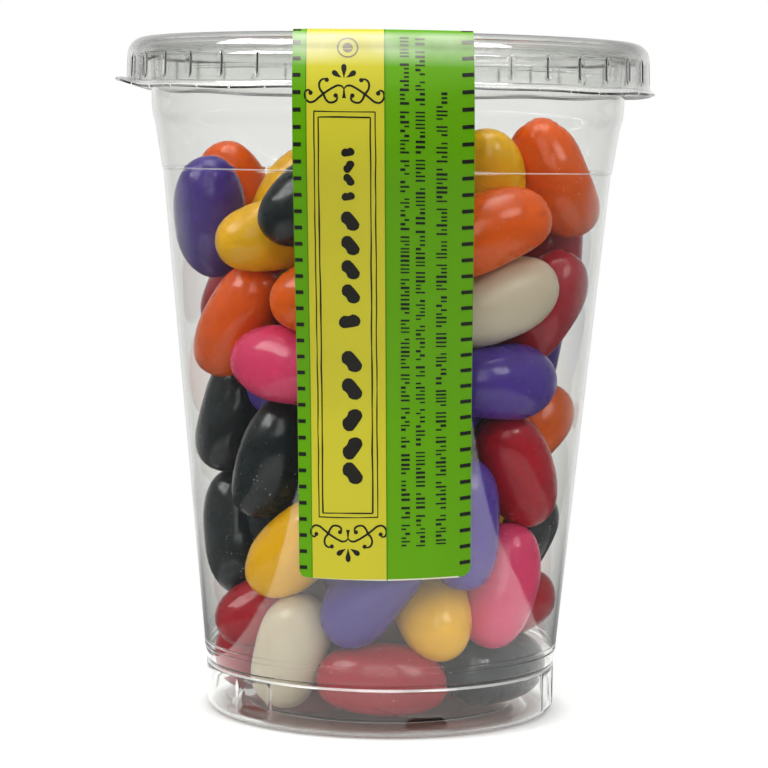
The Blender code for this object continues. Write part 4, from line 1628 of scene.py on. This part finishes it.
@dataclass
class Studio:
    """A white board to stand on, soft boxes above, a pale surround and the camera.

    The surround is plain white where the camera sees it. To everything else it is a
    room, pale behind the cup and dim in front of it. What is mirrored shows less of the
    pale side, and a darker front, than what is seen through the plastic.
    """

    distance: float = 0.550
    height: float = 0.1108
    pitch: float = 4.84
    roll: float = 0.82
    focal_pixels: float = 2787.0
    sensor: float = 36.0
    # The board's own glow in the open and under the cup, where it is dimmed as a painted shadow,
    # and between which distances from the axis it rises and turns from a warm painted reflection
    # of the beans to white
    board_glow: float = 0.62
    painted_shadow_glow: float = 0.05
    painted_shadow_span: Point = (0.0295, 0.0385)
    white: Colour = (1.0, 1.0, 0.99)
    painted_bean_glow: Colour = (1.0, 0.42, 0.34)
    bean_glow_span: Point = (0.0280, 0.0325)
    board_roughness: float = 0.7
    # Distance from the axis and tone of the board: a warm painted shade under the cup, for its
    # shadow and the beans' reflected light, and greyer close to it
    board_tones: tuple[tuple[float, Colour], ...] = (
        (0.028, (0.38, 0.26, 0.21)), (0.034, (0.40, 0.40, 0.395)), (0.085, (0.40, 0.40, 0.395)),
        (0.150, (0.60, 0.60, 0.595)),
    )
    # Outline of the board in millimetres, seen from above
    board: tuple[Point, ...] = (
        (0.0, 78.0), (-45.0, 58.0), (-67.0, 13.0), (-81.0, -6.0), (-95.0, -28.0), (-107.0, -56.0),
        (-122.0, -84.0), (-135.0, -111.0), (-150.0, -170.0), (-110.0, -230.0), (0.0, -250.0),
        (130.0, -230.0), (190.0, -170.0), (162.0, -100.0), (147.0, -66.0), (143.0, -47.0),
        (128.0, -13.0), (106.0, 11.0), (77.0, 31.0), (45.0, 60.0),
    )
    # Height of the direction, as the sine of its angle above the horizon, and brightness
    # behind the cup, in front of it, and in front of it as seen through the plastic
    surround: tuple[tuple[float, float, float, float], ...] = (
        (-0.30, 0.05, 0.03, 0.24), (-0.19, 0.30, 0.03, 0.15), (-0.15, 0.86, 0.04, 0.15),
        (0.06, 0.93, 0.08, 0.20), (0.20, 0.72, 0.16, 0.34), (0.45, 0.50, 0.30, 0.80),
        (1.00, 0.55, 0.50, 1.00),
    )
    # How far behind the cup, as the Y of the direction, it turns from dim to pale
    turn_mirrored: Point = (0.78, 0.95)
    turn_through: Point = (0.40, 0.85)
    # The same for the little light that comes through from the sides, and how much it is
    turn_sideways: Point = (-0.60, -0.10)
    sideways: float = 0.22
    # Name, place, aim height, width, height and watts of each soft box
    boxes: tuple[tuple[str, tuple[float, float, float], float, float, float, float], ...] = (
        ("key", (0.44, -0.46, 0.60), 0.075, 0.32, 0.32, 3.2),
        ("side", (-0.62, -0.28, 0.72), 0.075, 0.58, 0.42, 8.8),
        ("top", (0.0, 0.00, 0.90), 0.060, 0.50, 0.50, 5.0),
        ("front", (0.0, -0.74, 0.50), 0.075, 0.44, 0.56, 2.6),
    )

    def build_board(self) -> None:
        """Lays the white board, with a painted shadow and a painted warm reflection of the beans
        under the cup.
        """
        deselect()
        bpy.ops.mesh.primitive_circle_add(vertices=len(self.board), radius=1.0, fill_type="NGON")
        board = newest("studio_board")
        outline = np.array([(x * MM, y * MM, 0.0) for x, y in self.board])
        reshape(board, lambda places: outline)
        nodes = Nodes("studio_board")
        nodes.set(Roughness=self.board_roughness)
        length = nodes.add("ShaderNodeVectorMath", operation="LENGTH")
        nodes.link(nodes.places, length.inputs[0])
        away = length.outputs["Value"]
        # Dim glow under the cup and in a ring round its foot: a painted shadow
        nodes.feed("Emission Strength", nodes.between(away, *self.painted_shadow_span, self.painted_shadow_glow,
                                                      self.board_glow))
        # Warm glow under the cup: a painted reflection of the beans
        white = nodes.between(away, *self.bean_glow_span, 0.0, 1.0)
        nodes.feed("Emission Color", nodes.mix(white, self.painted_bean_glow, self.white))
        # Warm dark tone under the cup: painted shade
        tone = self.board_tones[0][1]
        for (low, _), (high, colour) in zip(self.board_tones, self.board_tones[1:]):
            tone = nodes.mix(nodes.between(away, low, high, 0.0, 1.0), tone, colour)
        nodes.feed("Base Color", tone)
        board.data.materials.append(nodes.material)

    def ramp(self, tree: bpy.types.NodeTree, rise: bpy.types.NodeSocket,
             column: int) -> bpy.types.NodeSocket:
        """Adds one brightness of the surround by height.

        Args:
            tree: the world's node tree.
            rise: the direction's height.
            column: which brightness of the table to take.

        Returns:
            The colour's socket.
        """
        span = tree.nodes.new("ShaderNodeMapRange")
        ramp = tree.nodes.new("ShaderNodeValToRGB")
        low, high = self.surround[0][0], self.surround[-1][0]
        span.inputs["From Min"].default_value = low
        span.inputs["From Max"].default_value = high
        stops = ramp.color_ramp.elements
        while len(stops) < len(self.surround):
            stops.new(0.5)
        for stop, row in zip(stops, self.surround):
            stop.position = (row[0] - low) / (high - low)
            stop.color = (row[column], row[column], row[column] * 0.985, 1.0)
        tree.links.new(rise, span.inputs["Value"])
        tree.links.new(span.outputs["Result"], ramp.inputs["Fac"])
        return ramp.outputs["Color"]

    def build_surround(self) -> None:
        """Sets the brightness of each direction."""
        world = bpy.data.worlds.new("studio_surround")
        world.use_nodes = True
        tree = world.node_tree
        direction = tree.nodes.new("ShaderNodeTexCoord").outputs["Generated"]
        split = tree.nodes.new("ShaderNodeSeparateXYZ")
        tree.links.new(direction, split.inputs[0])
        path = tree.nodes.new("ShaderNodeLightPath").outputs
        back, front, lit = (self.ramp(tree, split.outputs["Z"], column) for column in (1, 2, 3))
        mirrored = self.blend(tree, self.behind(tree, split, self.turn_mirrored), front, back)
        share = tree.nodes.new("ShaderNodeMath")
        share.operation = "MAXIMUM"
        tree.links.new(self.behind(tree, split, self.turn_through), share.inputs[0])
        sideways = self.behind(tree, split, self.turn_sideways, self.sideways)
        tree.links.new(sideways, share.inputs[1])
        through = self.blend(tree, share.outputs[0], lit, back)
        room = self.blend(tree, path["Is Transmission Ray"], mirrored, through)
        seen = self.blend(tree, path["Is Camera Ray"], room, (1.0, 1.0, 1.0, 1.0))
        tree.links.new(seen, tree.nodes["Background"].inputs["Color"])
        bpy.context.scene.world = world

    def behind(self, tree: bpy.types.NodeTree, split: bpy.types.Node, turn: Point,
               full: float = 1.0) -> bpy.types.NodeSocket:
        """Adds the share of the pale side.

        Args:
            tree: the world's node tree.
            split: the node that gives the direction's parts.
            turn: the Y of the direction where it starts and where it is full.
            full: the share where it is full.

        Returns:
            The share's socket.
        """
        node = tree.nodes.new("ShaderNodeMapRange")
        node.interpolation_type = "SMOOTHSTEP"
        node.inputs["From Min"].default_value, node.inputs["From Max"].default_value = turn
        node.inputs["To Max"].default_value = full
        tree.links.new(split.outputs["Y"], node.inputs["Value"])
        return node.outputs["Result"]

    def blend(self, tree: bpy.types.NodeTree, share: bpy.types.NodeSocket,
              first: bpy.types.NodeSocket,
              second: bpy.types.NodeSocket | tuple[float, ...]) -> bpy.types.NodeSocket:
        """Adds a mix of two colours to the world.

        Args:
            tree: the world's node tree.
            share: the second colour's share.
            first: a colour's socket.
            second: a colour's socket, or a plain colour.

        Returns:
            The mixed colour's socket.
        """
        node = tree.nodes.new("ShaderNodeMix")
        node.data_type = "RGBA"
        colours = [socket for socket in node.inputs if socket.type == "RGBA"]
        tree.links.new(share, node.inputs["Factor"])
        tree.links.new(first, colours[0])
        if isinstance(second, tuple):
            colours[1].default_value = second
        else:
            tree.links.new(second, colours[1])
        return next(socket for socket in node.outputs if socket.type == "RGBA")

    def build_boxes(self) -> None:
        """Hangs the soft boxes."""
        for name, place, aim_z, width, height, power in self.boxes:
            bpy.ops.object.light_add(type="AREA", location=place)
            lamp = bpy.context.object
            lamp.name = "studio_" + name
            lamp.data.shape = "RECTANGLE"
            lamp.data.size = width
            lamp.data.size_y = height
            lamp.data.energy = power
            aim = Vector((0.0, 0.0, aim_z)) - Vector(place)
            lamp.rotation_euler = aim.to_track_quat("-Z", "Y").to_euler()

    def build_camera(self) -> None:
        """Sets the camera where the picture was taken from."""
        data = bpy.data.cameras.new("studio_camera")
        data.sensor_width = self.sensor
        data.lens = self.focal_pixels / FRAME_PIXELS * self.sensor
        camera = bpy.data.objects.new("studio_camera", data)
        bpy.context.collection.objects.link(camera)
        tilt = Matrix.Rotation(math.radians(90.0 - self.pitch), 4, "X")
        roll = Matrix.Rotation(math.radians(self.roll), 4, "Z")
        camera.matrix_world = Matrix.Translation((0.0, -self.distance, self.height)) @ tilt @ roll
        bpy.context.scene.camera = camera

    def build(self) -> None:
        """Builds board, surround, lights and camera."""
        self.build_board()
        self.build_surround()
        self.build_boxes()
        self.build_camera()
        bpy.context.scene.view_settings.view_transform = "Standard"


def main() -> None:
    """Builds the sub-assemblies and the studio."""
    for assembly in (BeanHeap(), CupShell(), PressLid(), StripLabel(), Studio()):
        assembly.build()
        log.info("%s done", type(assembly).__name__)


if __name__ == "__main__":
    main()
